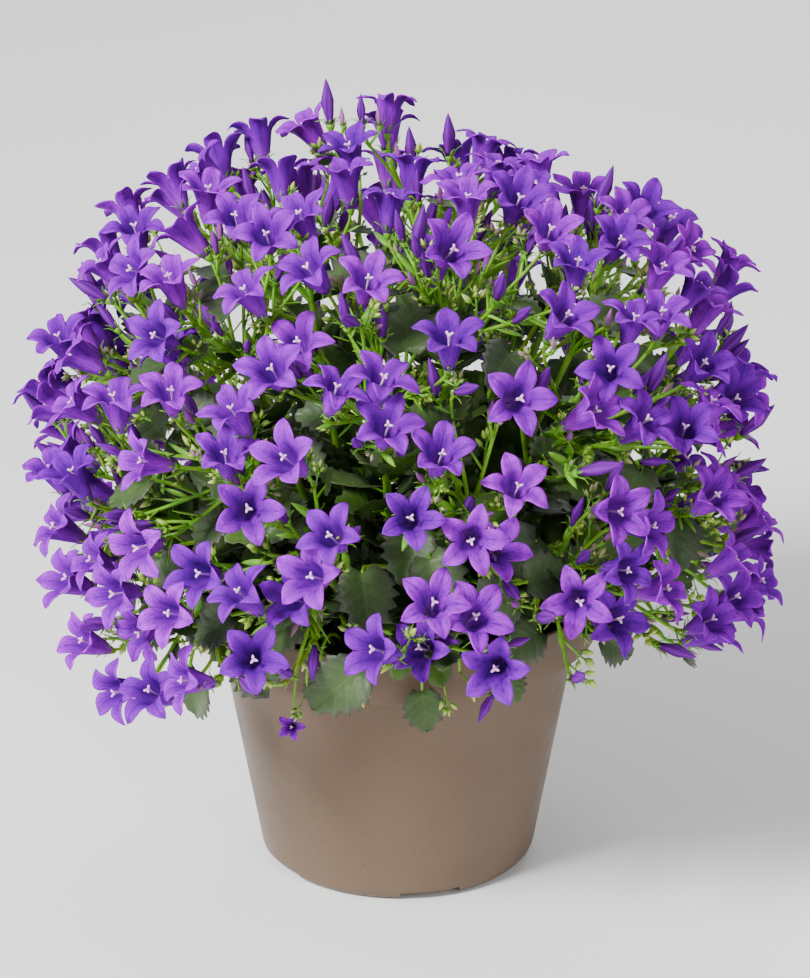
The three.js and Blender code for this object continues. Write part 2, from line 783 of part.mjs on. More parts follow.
function growLeaf(shoot, { toward, draws, exit }) {
  for (let attempt = 0; attempt < leafing.tries; attempt++) {
    const turn = (draws[0] - 0.5) * leafing.turn + Math.sin(attempt * goldenAngle) * leafing.turnStep;
    const share = leafing.share - leafing.shareStep * attempt - leafing.shareSpread * draws[1];
    const shift = leafing.shiftStep * attempt;
    const [aim] = ringAround(toward, toward, anyAcross(toward), shift, [turn * leafing.shiftTurns]);
    const near = aim.normalize();
    const centre = middle.clone().addScaledVector(near, reach(near) * share);
    const wobble = new THREE.Vector3(draws[2] - 0.5, draws[3] - 0.5, draws[4] - 0.5);
    const normal = near.clone().addScaledVector(up, leafing.rise);
    normal.addScaledVector(wobble, leafing.wobble).normalize();
    const away = across(normal, centre.clone().sub(exit));
    const [along] = ringAround(new THREE.Vector3(), normal, away, 1, [turn]);
    const size = leafing.size + leafing.sizeSpread * draws[5] - leafing.sizeStep * attempt;
    const base = centre.clone().addScaledVector(along, -leaf.length * size * leaf.centreAt);
    const stalk = base.clone().sub(exit).normalize();
    if (stalk.dot(shoot.toward) < leafing.stalkBend) continue;
    if (stalk.dot(along.clone().add(normal).normalize()) < leafing.stalkBend) continue;
    const form = { base, along, normal, size };
    if (fits((grow) => leafPiece(shoot, exit, form, grow), shoot)) return;
  }
}

addFlowerSites();
addLeafSites();
for (const node of [...sprays, ...shoots]) settleStem(node);
const mostSites = Math.max(...sprays.map((s) => s.sites.length));
for (let turn = 0; turn < mostSites; turn++) {
  for (const spray of sprays) {
    if (spray.sites[turn]) growFlower(spray, spray.sites[turn]);
  }
}
for (const shoot of shoots) {
  for (const site of shoot.sites) growLeaf(shoot, site);
}

// The scene
const taupe = { color: 0x94806d, roughness: 0.45, metalness: 0 };
const peat = { color: 0x3a2a1e, roughness: 0.95, metalness: 0 };
const violet = { color: 0x7a3cc8, roughness: 0.6, metalness: 0 };
const green = { color: 0x47603a, roughness: 0.6, metalness: 0 };
const group = new THREE.Group();

function addMesh(name, geometry, look) {
  const mesh = new THREE.Mesh(geometry, new THREE.MeshStandardMaterial(look));
  mesh.name = name;
  group.add(mesh);
}

addMesh("pot", geometryOf(potBody), taupe);
addMesh("soil", geometryOf(soilSolid([...sprays, ...shoots].map((s) => s.foot))), peat);
for (const spray of sprays) {
  addMesh(spray.name, stemGeometry(spray, spray.pieces), violet);
}
for (const shoot of shoots) {
  addMesh(shoot.name, stemGeometry(shoot, shoot.pieces), green);
}

export default group;
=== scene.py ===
import bpy
import bmesh
import math
import random
from mathutils import Matrix, Vector, noise


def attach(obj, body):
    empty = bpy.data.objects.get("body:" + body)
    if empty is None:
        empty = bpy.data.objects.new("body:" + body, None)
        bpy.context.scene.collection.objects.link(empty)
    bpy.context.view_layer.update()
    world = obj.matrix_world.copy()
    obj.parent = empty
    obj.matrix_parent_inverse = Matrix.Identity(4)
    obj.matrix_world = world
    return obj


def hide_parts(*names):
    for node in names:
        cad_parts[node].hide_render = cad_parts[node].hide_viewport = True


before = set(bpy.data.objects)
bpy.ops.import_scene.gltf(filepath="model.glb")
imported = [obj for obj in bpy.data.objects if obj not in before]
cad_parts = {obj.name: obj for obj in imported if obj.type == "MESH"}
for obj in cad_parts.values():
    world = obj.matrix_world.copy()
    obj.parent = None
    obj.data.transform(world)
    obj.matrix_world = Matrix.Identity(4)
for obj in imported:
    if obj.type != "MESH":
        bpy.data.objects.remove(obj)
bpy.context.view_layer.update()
mm = 0.001
up = Vector((0, 0, 1))
middle = up * 100 * mm  # the middle of the dome of flowers
print("frame loaded")

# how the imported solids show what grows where: lengths in mm, and the points or links that tell a form
solidForms = {
    "footHeight": 73.3, "stemSides": 3, "bellPoints": 19, "budPoints": 8, "leafTopLinks": 13,
    "leafBottomLinks": 14, "bellLength": 12.5, "budLength": 15, "leafLength": 18, "leafSeen": 0.94,
    "leafInStalk": 0.06, "liftSpan": 4.5, "liftDrop": 0.5, "weldDigits": 6, "footSlack": 2e-5, "flatSlack": 3e-6,
}


def weld(node):
    # the node's points without doubles, and the ones that each is linked to
    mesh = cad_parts[node].data
    index, spots, same = {}, [], []
    for v in mesh.vertices:
        key = tuple(round(c, solidForms["weldDigits"]) for c in v.co)
        if key not in index:
            index[key] = len(spots)
            spots.append(v.co.copy())
        same.append(index[key])
    links = [set() for _ in spots]
    for p in mesh.polygons:
        a, b, c = (same[i] for i in p.vertices)
        links[a] |= {b, c}
        links[b] |= {a, c}
        links[c] |= {a, b}
    return spots, links


def meanOf(spots, chosen):
    return sum((spots[i] for i in chosen), Vector()) / len(chosen)


def squareTo(axis, hint):
    # the hint, turned square to the axis
    return (hint - axis * hint.dot(axis)).normalized()


def layersFrom(start, links, allowed):
    layers, seen = [set(start)], set(start)
    while True:
        nextOnes = {n for v in layers[-1] for n in links[v] if n in allowed} - seen
        if not nextOnes:
            return layers
        layers.append(nextOnes)
        seen |= nextOnes


def readStem(spots, links):
    # rings of three points, from the stem's foot to the flat top that the stalks leave from
    c = solidForms
    foot = [i for i, p in enumerate(spots) if abs(p.z - c["footHeight"] * mm) < c["footSlack"]]
    foot = [i for i in foot if sum(1 for j in foot if j in links[i]) == 2][:c["stemSides"]]
    rings, seen = [set(foot)], set(foot)
    while len(rings[-1]) == c["stemSides"]:
        rings.append({n for v in rings[-1] for n in links[v]} - seen)
        seen |= rings[-1]
    rim = [spots[i] for i in rings[-1]]
    path = [meanOf(spots, ring) for ring in rings[:-1]]
    top = meanOf(spots, rings[-1])
    toward = (rim[1] - rim[0]).cross(rim[2] - rim[0]).normalized()
    if toward.dot(top - path[-1]) < 0:
        toward.negate()
    return path, top, toward, seen


def readBell(spots, layers):
    calyx = meanOf(spots, layers[1])
    outer = sorted(layers[3], key=lambda i: (spots[i] - calyx).length)
    throat, tips = spots[outer[0]], [spots[i] for i in outer[1:]]
    axis = (throat - calyx).normalized()

    def fromAxis(i):
        return (spots[i] - calyx - axis * (spots[i] - calyx).dot(axis)).length

    mouth = meanOf(spots, sorted(layers[2], key=fromAxis)[:len(tips)])  # the five notches are nearest to the axis
    lift = sum((t - mouth).dot(axis) for t in tips) / len(tips) / mm
    return {
        "kind": "bell", "calyx": calyx, "axis": axis, "front": squareTo(axis, tips[0] - mouth),
        "size": (mouth - calyx).length / mm / solidForms["bellLength"],
        "opening": 1 - (lift + solidForms["liftDrop"]) / solidForms["liftSpan"],
    }


def readBud(spots, layers):
    calyx = meanOf(spots, layers[1])
    tip = meanOf(spots, layers[3])
    axis = (tip - calyx).normalized()
    return {
        "kind": "bud", "calyx": calyx, "axis": axis, "front": axis.orthogonal().normalized(),
        "size": (tip - calyx).length / mm / solidForms["budLength"],
    }


def readLeaf(spots, links, group):
    # the blade's middle points have the most links: one in its upper face and one in its lower
    c = solidForms
    inside = {i: links[i] & group for i in group}
    top = next(i for i in group if len(inside[i]) == c["leafTopLinks"])
    bottom = next(i for i in group if len(inside[i]) == c["leafBottomLinks"])
    outline = inside[top]
    neck = sorted(outline, key=lambda i: min((spots[i] - spots[j]).length for j in outline if j != i))[:2]
    calyx = meanOf(spots, neck)
    tip = max((spots[i] for i in outline), key=lambda p: (p - calyx).length)
    along = (tip - calyx).normalized()
    length = (tip - calyx).length / c["leafSeen"]
    return {
        "kind": "leaf", "calyx": calyx, "axis": along, "front": squareTo(along, spots[top] - spots[bottom]),
        "size": length / mm / c["leafLength"], "base": calyx - along * length * c["leafInStalk"],
    }


def readNode(node):
    # a stem's path, and each bell, bud or leaf that a stalk carries from its fork
    spots, links = weld(node)
    path, top, toward, stemPoints = readStem(spots, links)
    rest = set(range(len(spots))) - stemPoints
    flat = {i for i in rest if abs((spots[i] - top).dot(toward)) < solidForms["flatSlack"]}
    heads = []
    free = rest - flat
    while free:
        group, edge = set(), {next(iter(free))}
        while edge:
            group |= edge
            edge = {n for v in edge for n in links[v] if n in free} - group
        free -= group
        roots = {n for v in group for n in links[v] if n in flat}
        layers = layersFrom(roots, links, group)
        if len(group) == solidForms["bellPoints"]:
            head = readBell(spots, layers)
        elif len(group) == solidForms["budPoints"]:
            head = readBud(spots, layers)
        else:
            head = readLeaf(spots, links, group)
        head["fork"] = meanOf(spots, roots)
        heads.append(head)
    heads.sort(key=lambda h: tuple(h["fork"]))
    return {"path": path, "toward": toward, "heads": heads}


def headsOf(plants, kind=None):
    return [h for plant in plants for h in plant["heads"] if kind in (None, h["kind"])]


sprayNames = sorted(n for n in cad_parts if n.startswith("spray_"))
shootNames = sorted(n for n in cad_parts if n.startswith("leaves_"))
sprays = [readNode(n) for n in sprayNames]
shoots = [readNode(n) for n in shootNames]
bells, buds, leaves = headsOf(sprays, "bell"), headsOf(sprays, "bud"), headsOf(shoots, "leaf")
print(f"read {len(bells)} bells, {len(buds)} buds and {len(leaves)} leaves from the frame")


# meshes and objects

def lerp(a, b, t):
    return a + (b - a) * t


def polar(radius, angle, z=0):
    return Vector((radius * math.cos(angle), radius * math.sin(angle), z))


def newObject(name, data):
    obj = bpy.data.objects.new(name, data)
    bpy.context.scene.collection.objects.link(obj)
    return obj


def meshFrom(name, verts, faces, coords=None):
    # coords holds one UV pair for each point
    mesh = bpy.data.meshes.new(name)
    mesh.from_pydata(verts, [], faces)
    if coords:
        layer = mesh.uv_layers.new(name="UVMap")
        for loop in mesh.loops:
            layer.data[loop.index].uv = coords[loop.vertex_index]
    mesh.validate()
    return smooth(mesh)


def smooth(mesh):
    mesh.polygons.foreach_set("use_smooth", [True] * len(mesh.polygons))
    return mesh


def facingOut(mesh, merge=False):
    # turns all faces outwards, after its doubles are merged where that is asked
    work = bmesh.new()
    work.from_mesh(mesh)
    if merge:
        bmesh.ops.remove_doubles(work, verts=work.verts, dist=1e-6)
        bmesh.ops.dissolve_degenerate(work, edges=work.edges, dist=1e-6)
    bmesh.ops.recalc_face_normals(work, faces=work.faces)
    work.to_mesh(mesh)
    work.free()
    return mesh


def evaluated(obj):
    graph = bpy.context.evaluated_depsgraph_get()
    return bpy.data.meshes.new_from_object(obj.evaluated_get(graph), depsgraph=graph)


def applied(obj):
    # the evaluated shape as a plain mesh, with no modifier left
    mesh = evaluated(obj)
    obj.modifiers.clear()
    obj.data = mesh
    return obj


def withSkin(mesh, depth):
    # a sheet given its thickness in mm, half of it on each side
    obj = newObject(mesh.name, mesh)
    wall = obj.modifiers.new("wall", "SOLIDIFY")
    wall.thickness = depth * mm
    wall.offset = 0
    mesh = applied(obj).data
    bpy.data.objects.remove(obj)
    return mesh


def ladder(rows, across, start=0, closed=True):
    # the faces between rows of points that follow one another, each row a ring or an open line
    faces = []
    for row in range(rows - 1):
        low = start + row * across
        high = low + across
        for k in range(across if closed else across - 1):
            n = (k + 1) % across
            faces.append([low + k, low + n, high + n, high + k])
    return faces


def capped(rows, sides):
    # a closed rod: the rings' faces and both ends
    last = (rows - 1) * sides
    return ladder(rows, sides) + [list(range(sides))[::-1], [last + k for k in range(sides)]]


def rod(path, sides, coord=(0.5, 0.5)):
    # path: (point, radius) pairs in mm
    verts, x = [], None
    for i, (where, radius) in enumerate(path):
        axis = (path[min(i + 1, len(path) - 1)][0] - path[max(i - 1, 0)][0]).normalized()
        x = squareTo(axis, x or axis.orthogonal())
        y = axis.cross(x)
        for k in range(sides):
            a = k * math.tau / sides
            verts.append((where + (x * math.cos(a) + y * math.sin(a)) * radius) * mm)
    return verts, capped(len(path), sides), [coord] * len(verts)


def joined(name, parts):
    # one mesh from several (points, faces, UV pairs)
    verts, faces, coords = [], [], []
    for partVerts, partFaces, partCoords in parts:
        start = len(verts)
        verts += partVerts
        faces += [[i + start for i in face] for face in partFaces]
        coords += partCoords
    return meshFrom(name, verts, faces, coords)


def place(piece, slotName, *nodes):
    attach(piece, "root")
    if nodes:
        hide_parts(*nodes)
    print(f"{piece.name}: {sum(len(p.vertices) - 2 for p in piece.data.polygons)} triangles")


# nodes for geometry and materials

def addNode(tree, kind, inputs):
    # each input is the output that feeds it, a plain value, or a colour as (red, green, blue) up to 255
    node = tree.nodes.new(kind)
    for key, value in inputs.items():
        feed(tree, node.inputs[key], value)
    return node


def feed(tree, socket, value):
    if isinstance(value, bpy.types.NodeSocket):
        tree.links.new(value, socket)
    else:
        socket.default_value = (*linear(value), 1) if isinstance(value, tuple) else value


def linear(colour):
    return tuple(((c / 255 + 0.055) / 1.055) ** 2.4 if c > 10 else c / 255 / 12.92 for c in colour)


def math2(tree, how, a, b=0.0):
    node = addNode(tree, "ShaderNodeMath", {0: a, 1: b})
    node.operation = how
    return node.outputs[0]


def times(tree, a, b):
    return math2(tree, "MULTIPLY", a, b)


# Geometry Nodes: shapes set on points, and tubes along paths

def treeWith(name, inputs):
    tree = bpy.data.node_groups.new(name, "GeometryNodeTree")
    tree.interface.new_socket("Geometry", in_out="INPUT", socket_type="NodeSocketGeometry")
    for label, kind, value in inputs:
        socket = tree.interface.new_socket(label, in_out="INPUT", socket_type=kind)
        if value is not None:
            socket.default_value = value
    tree.interface.new_socket("Geometry", in_out="OUTPUT", socket_type="NodeSocketGeometry")
    return tree, tree.nodes.new("NodeGroupInput").outputs


def endTree(tree, given, geometry):
    # what is made becomes real geometry and gets its material
    real = addNode(tree, "GeometryNodeRealizeInstances", {"Geometry": geometry})
    finish = addNode(tree, "GeometryNodeSetMaterial", {
        "Geometry": real.outputs["Geometry"], "Material": given["Finish"],
    })
    addNode(tree, "NodeGroupOutput", {"Geometry": finish.outputs["Geometry"]})
    return tree


def named(tree, label, kind):
    node = tree.nodes.new("GeometryNodeInputNamedAttribute")
    node.data_type = kind
    feed(tree, node.inputs["Name"], label)
    return node.outputs["Attribute"]


def scatterTree():
    tree, given = treeWith("Set shapes on points", [
        ("Shapes", "NodeSocketCollection", None),
        ("Size", "NodeSocketFloat", 1.0),
        ("Finish", "NodeSocketMaterial", None),
    ])
    shapes = addNode(tree, "GeometryNodeCollectionInfo", {
        "Collection": given["Shapes"], "Separate Children": True, "Reset Children": True,
    })
    turn = addNode(tree, "FunctionNodeEulerToRotation", {0: named(tree, "turn", "FLOAT_VECTOR")})
    put = addNode(tree, "GeometryNodeInstanceOnPoints", {
        "Points": given["Geometry"], "Instance": shapes.outputs[0], "Pick Instance": True,
        "Instance Index": named(tree, "kind", "INT"), "Rotation": turn.outputs[0],
        "Scale": times(tree, named(tree, "size", "FLOAT"), given["Size"]),
    })
    return endTree(tree, given, put.outputs["Instances"])


def tubeTree():
    tree, given = treeWith("Tube along paths", [
        ("Girth", "NodeSocketFloat", 1.0),
        ("Sides", "NodeSocketInt", 6),
        ("Finish", "NodeSocketMaterial", None),
    ])
    ring = addNode(tree, "GeometryNodeCurvePrimitiveCircle", {"Radius": mm, "Resolution": given["Sides"]})
    radius = addNode(tree, "GeometryNodeInputRadius", {})
    sweep = addNode(tree, "GeometryNodeCurveToMesh", {
        "Curve": given["Geometry"], "Profile Curve": ring.outputs["Curve"], "Fill Caps": True,
        "Scale": times(tree, radius.outputs[0], given["Girth"]),
    })
    rounded = addNode(tree, "GeometryNodeSetShadeSmooth", {"Geometry": sweep.outputs["Mesh"]})
    return endTree(tree, given, rounded.outputs["Geometry"])


def useTree(obj, tree, values):
    modifier = obj.modifiers.new("tree", "NODES")
    modifier.node_group = tree
    for item in tree.interface.items_tree:
        if item.item_type == "SOCKET" and item.in_out == "INPUT" and item.name in values:
            modifier[item.identifier] = values[item.name]


setShapes = scatterTree()
alongPaths = tubeTree()


def point(where, axis, front, size, kind, tint):
    # where one shape is set: axis is its +Z, front its +X, kind picks the variant
    return {"where": where, "axis": axis, "front": front, "size": size, "kind": kind, "tint": tint}


def scatter(name, points, shapes, finish):
    mesh = bpy.data.meshes.new(name)
    mesh.from_pydata([p["where"] for p in points], [], [])
    turns = []
    for p in points:
        z = p["axis"]
        x = squareTo(z, p["front"])
        turns += Matrix((x, z.cross(x), z)).transposed().to_euler()
    mesh.attributes.new("turn", "FLOAT_VECTOR", "POINT").data.foreach_set("vector", turns)
    for label, kind in (("size", "FLOAT"), ("kind", "INT"), ("tint", "FLOAT")):
        mesh.attributes.new(label, kind, "POINT").data.foreach_set("value", [p[label] for p in points])
    obj = newObject(name, mesh)
    useTree(obj, setShapes, {"Shapes": shapes, "Size": 1.0, "Finish": finish})
    return applied(obj)


def tubes(name, paths, finish, sides):
    # each path: a list of (point, radius in mm)
    curve = bpy.data.curves.new(name, "CURVE")
    curve.dimensions = "3D"
    for path in paths:
        line = curve.splines.new("POLY")
        line.points.add(len(path) - 1)
        for spot, (where, radius) in zip(line.points, path):
            spot.co = (*where, 1)
            spot.radius = radius
    obj = newObject(name, curve)
    useTree(obj, alongPaths, {"Sides": sides, "Finish": finish})
    mesh = evaluated(obj)
    bpy.data.objects.remove(obj)
    return newObject(name, mesh)


def shapeSet(name, count, make):
    # variants that the scatter tree picks from by number, kept out of the scene
    group = bpy.data.collections.new(name)
    for i in range(count):
        group.objects.link(bpy.data.objects.new(f"{name}{i:02d}", make(i)))
    return group


# materials

def material(name, roughness, specular=0.5, soft=0.0):
    mat = bpy.data.materials.new(name)
    mat.use_nodes = True
    shader = mat.node_tree.nodes["Principled BSDF"]
    for label, value in (("Roughness", roughness), ("Specular IOR Level", specular), ("Subsurface Weight", soft)):
        shader.inputs[label].default_value = value
    return mat, mat.node_tree, shader


def dress(tree, shader, colour, height, strength, distance):
    # the colour, and a fine relief that follows the height
    relief = addNode(tree, "ShaderNodeBump", {"Height": height, "Strength": strength, "Distance": distance})
    feed(tree, shader.inputs["Base Color"], colour)
    feed(tree, shader.inputs["Normal"], relief.outputs["Normal"])


def rampOf(tree, source, stops):
    ramp = addNode(tree, "ShaderNodeValToRGB", {"Fac": source})
    items = ramp.color_ramp.elements
    while len(items) < len(stops):
        items.new(0.5)
    for item, (at, colour) in zip(items, stops):
        item.position = at
        item.color = (*linear(colour), 1)
    return ramp.outputs["Color"]


def mixed(tree, factor, a, b, how="MIX"):
    node = tree.nodes.new("ShaderNodeMix")
    node.data_type = "RGBA"
    node.blend_type = how
    for socket, value in ((node.inputs["Factor"], factor), (node.inputs[6], a), (node.inputs[7], b)):
        feed(tree, socket, value)
    return node.outputs[2]


def noiseOf(tree, scale, detail=3, where=None):
    if where is None:
        where = tree.nodes.new("ShaderNodeTexCoord").outputs["Object"]
    return addNode(tree, "ShaderNodeTexNoise", {"Scale": scale, "Detail": detail, "Vector": where}).outputs["Fac"]


def tintOf(tree):
    # each shape's own tint, from its point
    node = tree.nodes.new("ShaderNodeAttribute")
    node.attribute_name = "tint"
    return node.outputs["Fac"]


def uvParts(tree):
    uv = tree.nodes.new("ShaderNodeUVMap")
    uv.uv_map = "UVMap"
    split = addNode(tree, "ShaderNodeSeparateXYZ", {0: uv.outputs["UV"]})
    return split.outputs["X"], split.outputs["Y"]


# the petals' tones, from calyx to tip, from crease to edge, in their veins and from bell to bell; from calyx to
# tip the colour also holds painted light in the throat and a painted highlight towards the lobe tips, and from
# crease to edge a painted shade
petalLook = {
    "roughness": 0.6, "specular": 0.04, "relief": 0.35, "veins": 4.6, "veinsAcross": 9.0, "veinsAlong": 1.6,
    # along the petal: the pale stops at the throat are painted light in the deep, shaded tube, and the bright
    # stop at 0.78 is a painted highlight towards the lobe tips
    "body": [
        (0.0, (214, 130, 236)), (0.14, (186, 60, 226)), (0.3, (140, 0, 190)),
        (0.46, (128, 0, 182)), (0.78, (204, 0, 255)), (1.0, (146, 0, 204)),
    ],
    # across the lobe: the dark stop at the crease is painted shade along the fold
    "crease": [(0.0, (74, 0, 108)), (0.13, (138, 0, 192)), (1.0, (206, 0, 252))],
    "streaks": [(0.4, (138, 118, 170)), (0.58, (255, 255, 255))],
    "shade": [(0.0, (186, 186, 214)), (0.6, (234, 234, 244)), (1.0, (255, 255, 255))],
}


def petalMaterial():
    # across runs from the lobe's crease (0) to its edge (1), along from the calyx (0) to the tip (1)
    c = petalLook
    mat, tree, shader = material("petal", c["roughness"], c["specular"])
    across, along = uvParts(tree)
    tint = tintOf(tree)
    # the body ramp carries painted light in the throat and a painted highlight near the tips; the crease ramp
    # adds painted shade along each lobe's crease
    colour = mixed(tree, 0.45, rampOf(tree, along, c["body"]), rampOf(tree, across, c["crease"]))
    lengthwise = addNode(tree, "ShaderNodeCombineXYZ", {
        0: times(tree, across, c["veinsAcross"]), 1: times(tree, along, c["veinsAlong"]),
        2: times(tree, tint, 37.0),
    })
    veins = noiseOf(tree, c["veins"], 4, lengthwise.outputs[0])
    colour = mixed(tree, 0.85, colour, rampOf(tree, veins, c["streaks"]), "MULTIPLY")
    colour = mixed(tree, 1.0, colour, rampOf(tree, tint, c["shade"]), "MULTIPLY")
    dress(tree, shader, colour, veins, c["relief"], 0.0006)
    return mat


# the buds' skin by age: young ones are green, then pinkish lilac, then dark violet, with a painted highlight on
# every other pleat
budLook = {
    "roughness": 0.6, "specular": 0.12,
    "skin": [
        (0.0, (176, 196, 70)), (0.2, (190, 150, 130)), (0.38, (150, 70, 150)),
        (0.56, (94, 0, 134)), (1.0, (64, 0, 100)),
    ],
    # pleat is the colour of a painted highlight laid on every other pleat; tip and grain are the bud's own colour
    "pleat": (156, 40, 200), "tip": (100, 16, 150), "grain": (60, 20, 110),
}


def budMaterial():
    c = budLook
    mat, tree, shader = material("bud", c["roughness"], c["specular"])
    across, along = uvParts(tree)
    # every other pleat is lightened by a painted highlight
    pleatHighlighted = mixed(tree, times(tree, across, 0.45), rampOf(tree, tintOf(tree), c["skin"]), c["pleat"])
    tipped = mixed(tree, times(tree, math2(tree, "POWER", along, 3.0), 0.35), pleatHighlighted, c["tip"])
    grain = noiseOf(tree, 900, 2)
    dress(tree, shader, mixed(tree, times(tree, grain, 0.2), tipped, c["grain"]), grain, 0.2, 0.0003)
    return mat


def stemMaterial(name, low, high):
    mat, tree, shader = material(name, 0.5, soft=0.08)
    colour = rampOf(tree, noiseOf(tree, 140), [(0.3, low), (0.72, high)])
    dress(tree, shader, colour, noiseOf(tree, 1600, 2), 0.25, 0.0002)
    return mat


# the sprigs' twigs, and the tones of their tiny buds at the foot and at the tip
sprigLook = {
    "green": [(0.3, (62, 120, 18)), (0.7, (116, 172, 40))],
    "foot": [(0.0, (124, 172, 32)), (0.7, (150, 188, 52)), (1.0, (140, 140, 80))],
    "tip": [(0.0, (176, 204, 70)), (0.6, (196, 200, 110)), (1.0, (150, 60, 150))],
}


def sprigMaterial():
    # across tells the tiny buds (1) from their green twigs (0)
    c = sprigLook
    mat, tree, shader = material("sprig", 0.5, soft=0.08)
    across, along = uvParts(tree)
    tint = tintOf(tree)
    bud = mixed(tree, along, rampOf(tree, tint, c["foot"]), rampOf(tree, tint, c["tip"]))
    colour = mixed(tree, across, rampOf(tree, noiseOf(tree, 200), c["green"]), bud)
    dress(tree, shader, colour, noiseOf(tree, 1500, 2), 0.2, 0.0002)
    return mat


# the leaves' blotched green, the green of young ones (on the deep leaves also painted light), the tone of their
# edges and of their veins
leafLook = {
    "roughness": 0.44, "specular": 0.25, "veinPairs": 5.0, "slant": 1.5, "veinWidth": 0.055, "ribWidth": 0.035,
    "body": [(0.25, (42, 58, 36)), (0.5, (56, 74, 46)), (0.78, (74, 87, 62))],
    "young": (78, 116, 28), "edge": (84, 56, 84), "vein": (128, 142, 104),
}


def leafMaterial():
    # across runs from the midrib (0) to the edge (1), along from the base (0) to the tip (1)
    c = leafLook
    mat, tree, shader = material("leaf", c["roughness"], c["specular"])
    across, along = uvParts(tree)
    # the lighter young green, which on the deep leaves is painted light
    young = mixed(tree, tintOf(tree), rampOf(tree, noiseOf(tree, 120, 4), c["body"]), c["young"])
    edged = mixed(tree, times(tree, math2(tree, "POWER", across, 3.0), 0.4), young, c["edge"])
    # side veins slant forward from the midrib
    slant = math2(tree, "SUBTRACT", times(tree, along, c["veinPairs"]), times(tree, across, c["slant"]))
    wave = math2(tree, "ABSOLUTE", math2(tree, "SUBTRACT", math2(tree, "FRACT", slant), 0.5))
    side = math2(tree, "LESS_THAN", wave, c["veinWidth"])
    vein = math2(tree, "MAXIMUM", side, math2(tree, "LESS_THAN", across, c["ribWidth"]))
    colour = mixed(tree, times(tree, vein, 0.1), edged, c["vein"])
    pillow = math2(tree, "ADD", times(tree, wave, 0.5), times(tree, noiseOf(tree, 700), 0.5))
    dress(tree, shader, colour, pillow, 0.4, 0.0006)
    return mat


# the pot's matt plastic: its two close tones, its specks and how rough it is
potLook = {
    "roughness": 0.6, "specular": 0.12, "tones": [(0.3, (103, 86, 71)), (0.7, (108, 91, 76))],
    "specks": [(0.28, (120, 101, 84)), (0.4, (255, 255, 255))],
    "rough": [(0.3, (150, 150, 150)), (0.7, (186, 186, 186))],
}


def potMaterial():
    c = potLook
    mat, tree, shader = material("pot", c["roughness"], c["specular"])
    specks = rampOf(tree, noiseOf(tree, 1500, 2), c["specks"])
    colour = mixed(tree, 0.22, rampOf(tree, noiseOf(tree, 18), c["tones"]), specks, "MULTIPLY")
    feed(tree, shader.inputs["Roughness"], rampOf(tree, noiseOf(tree, 60, 4), c["rough"]))
    dress(tree, shader, colour, noiseOf(tree, 2200, 2), 0.12, 0.0002)
    return mat


# the potting mix, and the crumbs with a few pale grains among them
soilLook = {
    "mix": [(0.3, (24, 17, 12)), (0.55, (52, 38, 27)), (0.8, (92, 72, 54))],
    "crumbs": [(0.0, (26, 18, 13)), (0.6, (58, 42, 30)), (0.93, (84, 66, 48)), (0.97, (214, 206, 190))],
}


def soilMaterial():
    mat, tree, shader = material("soil", 0.95)
    lumps = noiseOf(tree, 420, 5)
    dress(tree, shader, rampOf(tree, lumps, soilLook["mix"]), lumps, 0.9, 0.002)
    return mat


def crumbMaterial():
    mat, tree, shader = material("crumb", 0.92)
    dress(tree, shader, rampOf(tree, tintOf(tree), soilLook["crumbs"]), noiseOf(tree, 1500), 0.6, 0.0006)
    return mat


petalFinish = petalMaterial()
budFinish = budMaterial()
stalkFinish = stemMaterial("stalk", (70, 140, 10), (134, 192, 34))
sprigFinish = sprigMaterial()
calyxFinish = stemMaterial("calyx", (64, 130, 12), (122, 180, 38))
pistilFinish = stemMaterial("pistil", (226, 160, 218), (250, 212, 238))
leafFinish = leafMaterial()
potFinish = potMaterial()
soilFinish = soilMaterial()
crumbFinish = crumbMaterial()
print("materials made")


# the pot: a tapered nursery pot with a collar, drain gaps in its foot ring and holes in its floor

potShape = {
    "height": 94, "foot": 44.5, "shoulder": 58, "collar": 65.5, "collarHeight": 15, "collarStep": 2.5,
    "wall": 1.6, "floor": 4.8, "corner": 4.5, "lip": 0.8, "around": 160,
    "gaps": 5, "firstGap": 283.6, "gapWidth": 23, "gapSlope": 2, "gapHeight": 3,
    "pad": 13, "ring": 6, "hole": 3.5, "holeAt": 30, "holeAround": 28, "sharpFrom": 35,
}
collarBase = potShape["height"] - potShape["collarHeight"]
shoulderHeight = collarBase - potShape["collarStep"]
draft = (potShape["shoulder"] - potShape["foot"]) / shoulderHeight


def lathe(name, profile, around):
    # profile: (radius, height) in mm, from the axis below, round the outside and back to the axis
    verts, faces, rings = [], [], []
    for radius, z in profile:
        if radius < 1e-6:
            rings.append([len(verts)] * around)
            verts.append(up * z * mm)
        else:
            rings.append(list(range(len(verts), len(verts) + around)))
            verts += [polar(radius, k * math.tau / around, z) * mm for k in range(around)]
    for low, high in zip(rings, rings[1:]):
        for k in range(around):
            n = (k + 1) % around
            faces.append(list(dict.fromkeys((low[k], low[n], high[n], high[k]))))
    return meshFrom(name, verts, faces)


def arc(centre, radius, first, last, steps):
    points = []
    for i in range(steps + 1):
        a = math.radians(lerp(first, last, i / steps))
        points.append((centre[0] + radius * math.cos(a), centre[1] + radius * math.sin(a)))
    return points


def cutFrom(obj, mesh):
    cutter = newObject("cutter", mesh)
    cut = obj.modifiers.new("cut", "BOOLEAN")
    cut.operation = "DIFFERENCE"
    cut.solver = "EXACT"
    cut.object = cutter
    applied(obj)
    bpy.data.objects.remove(cutter)


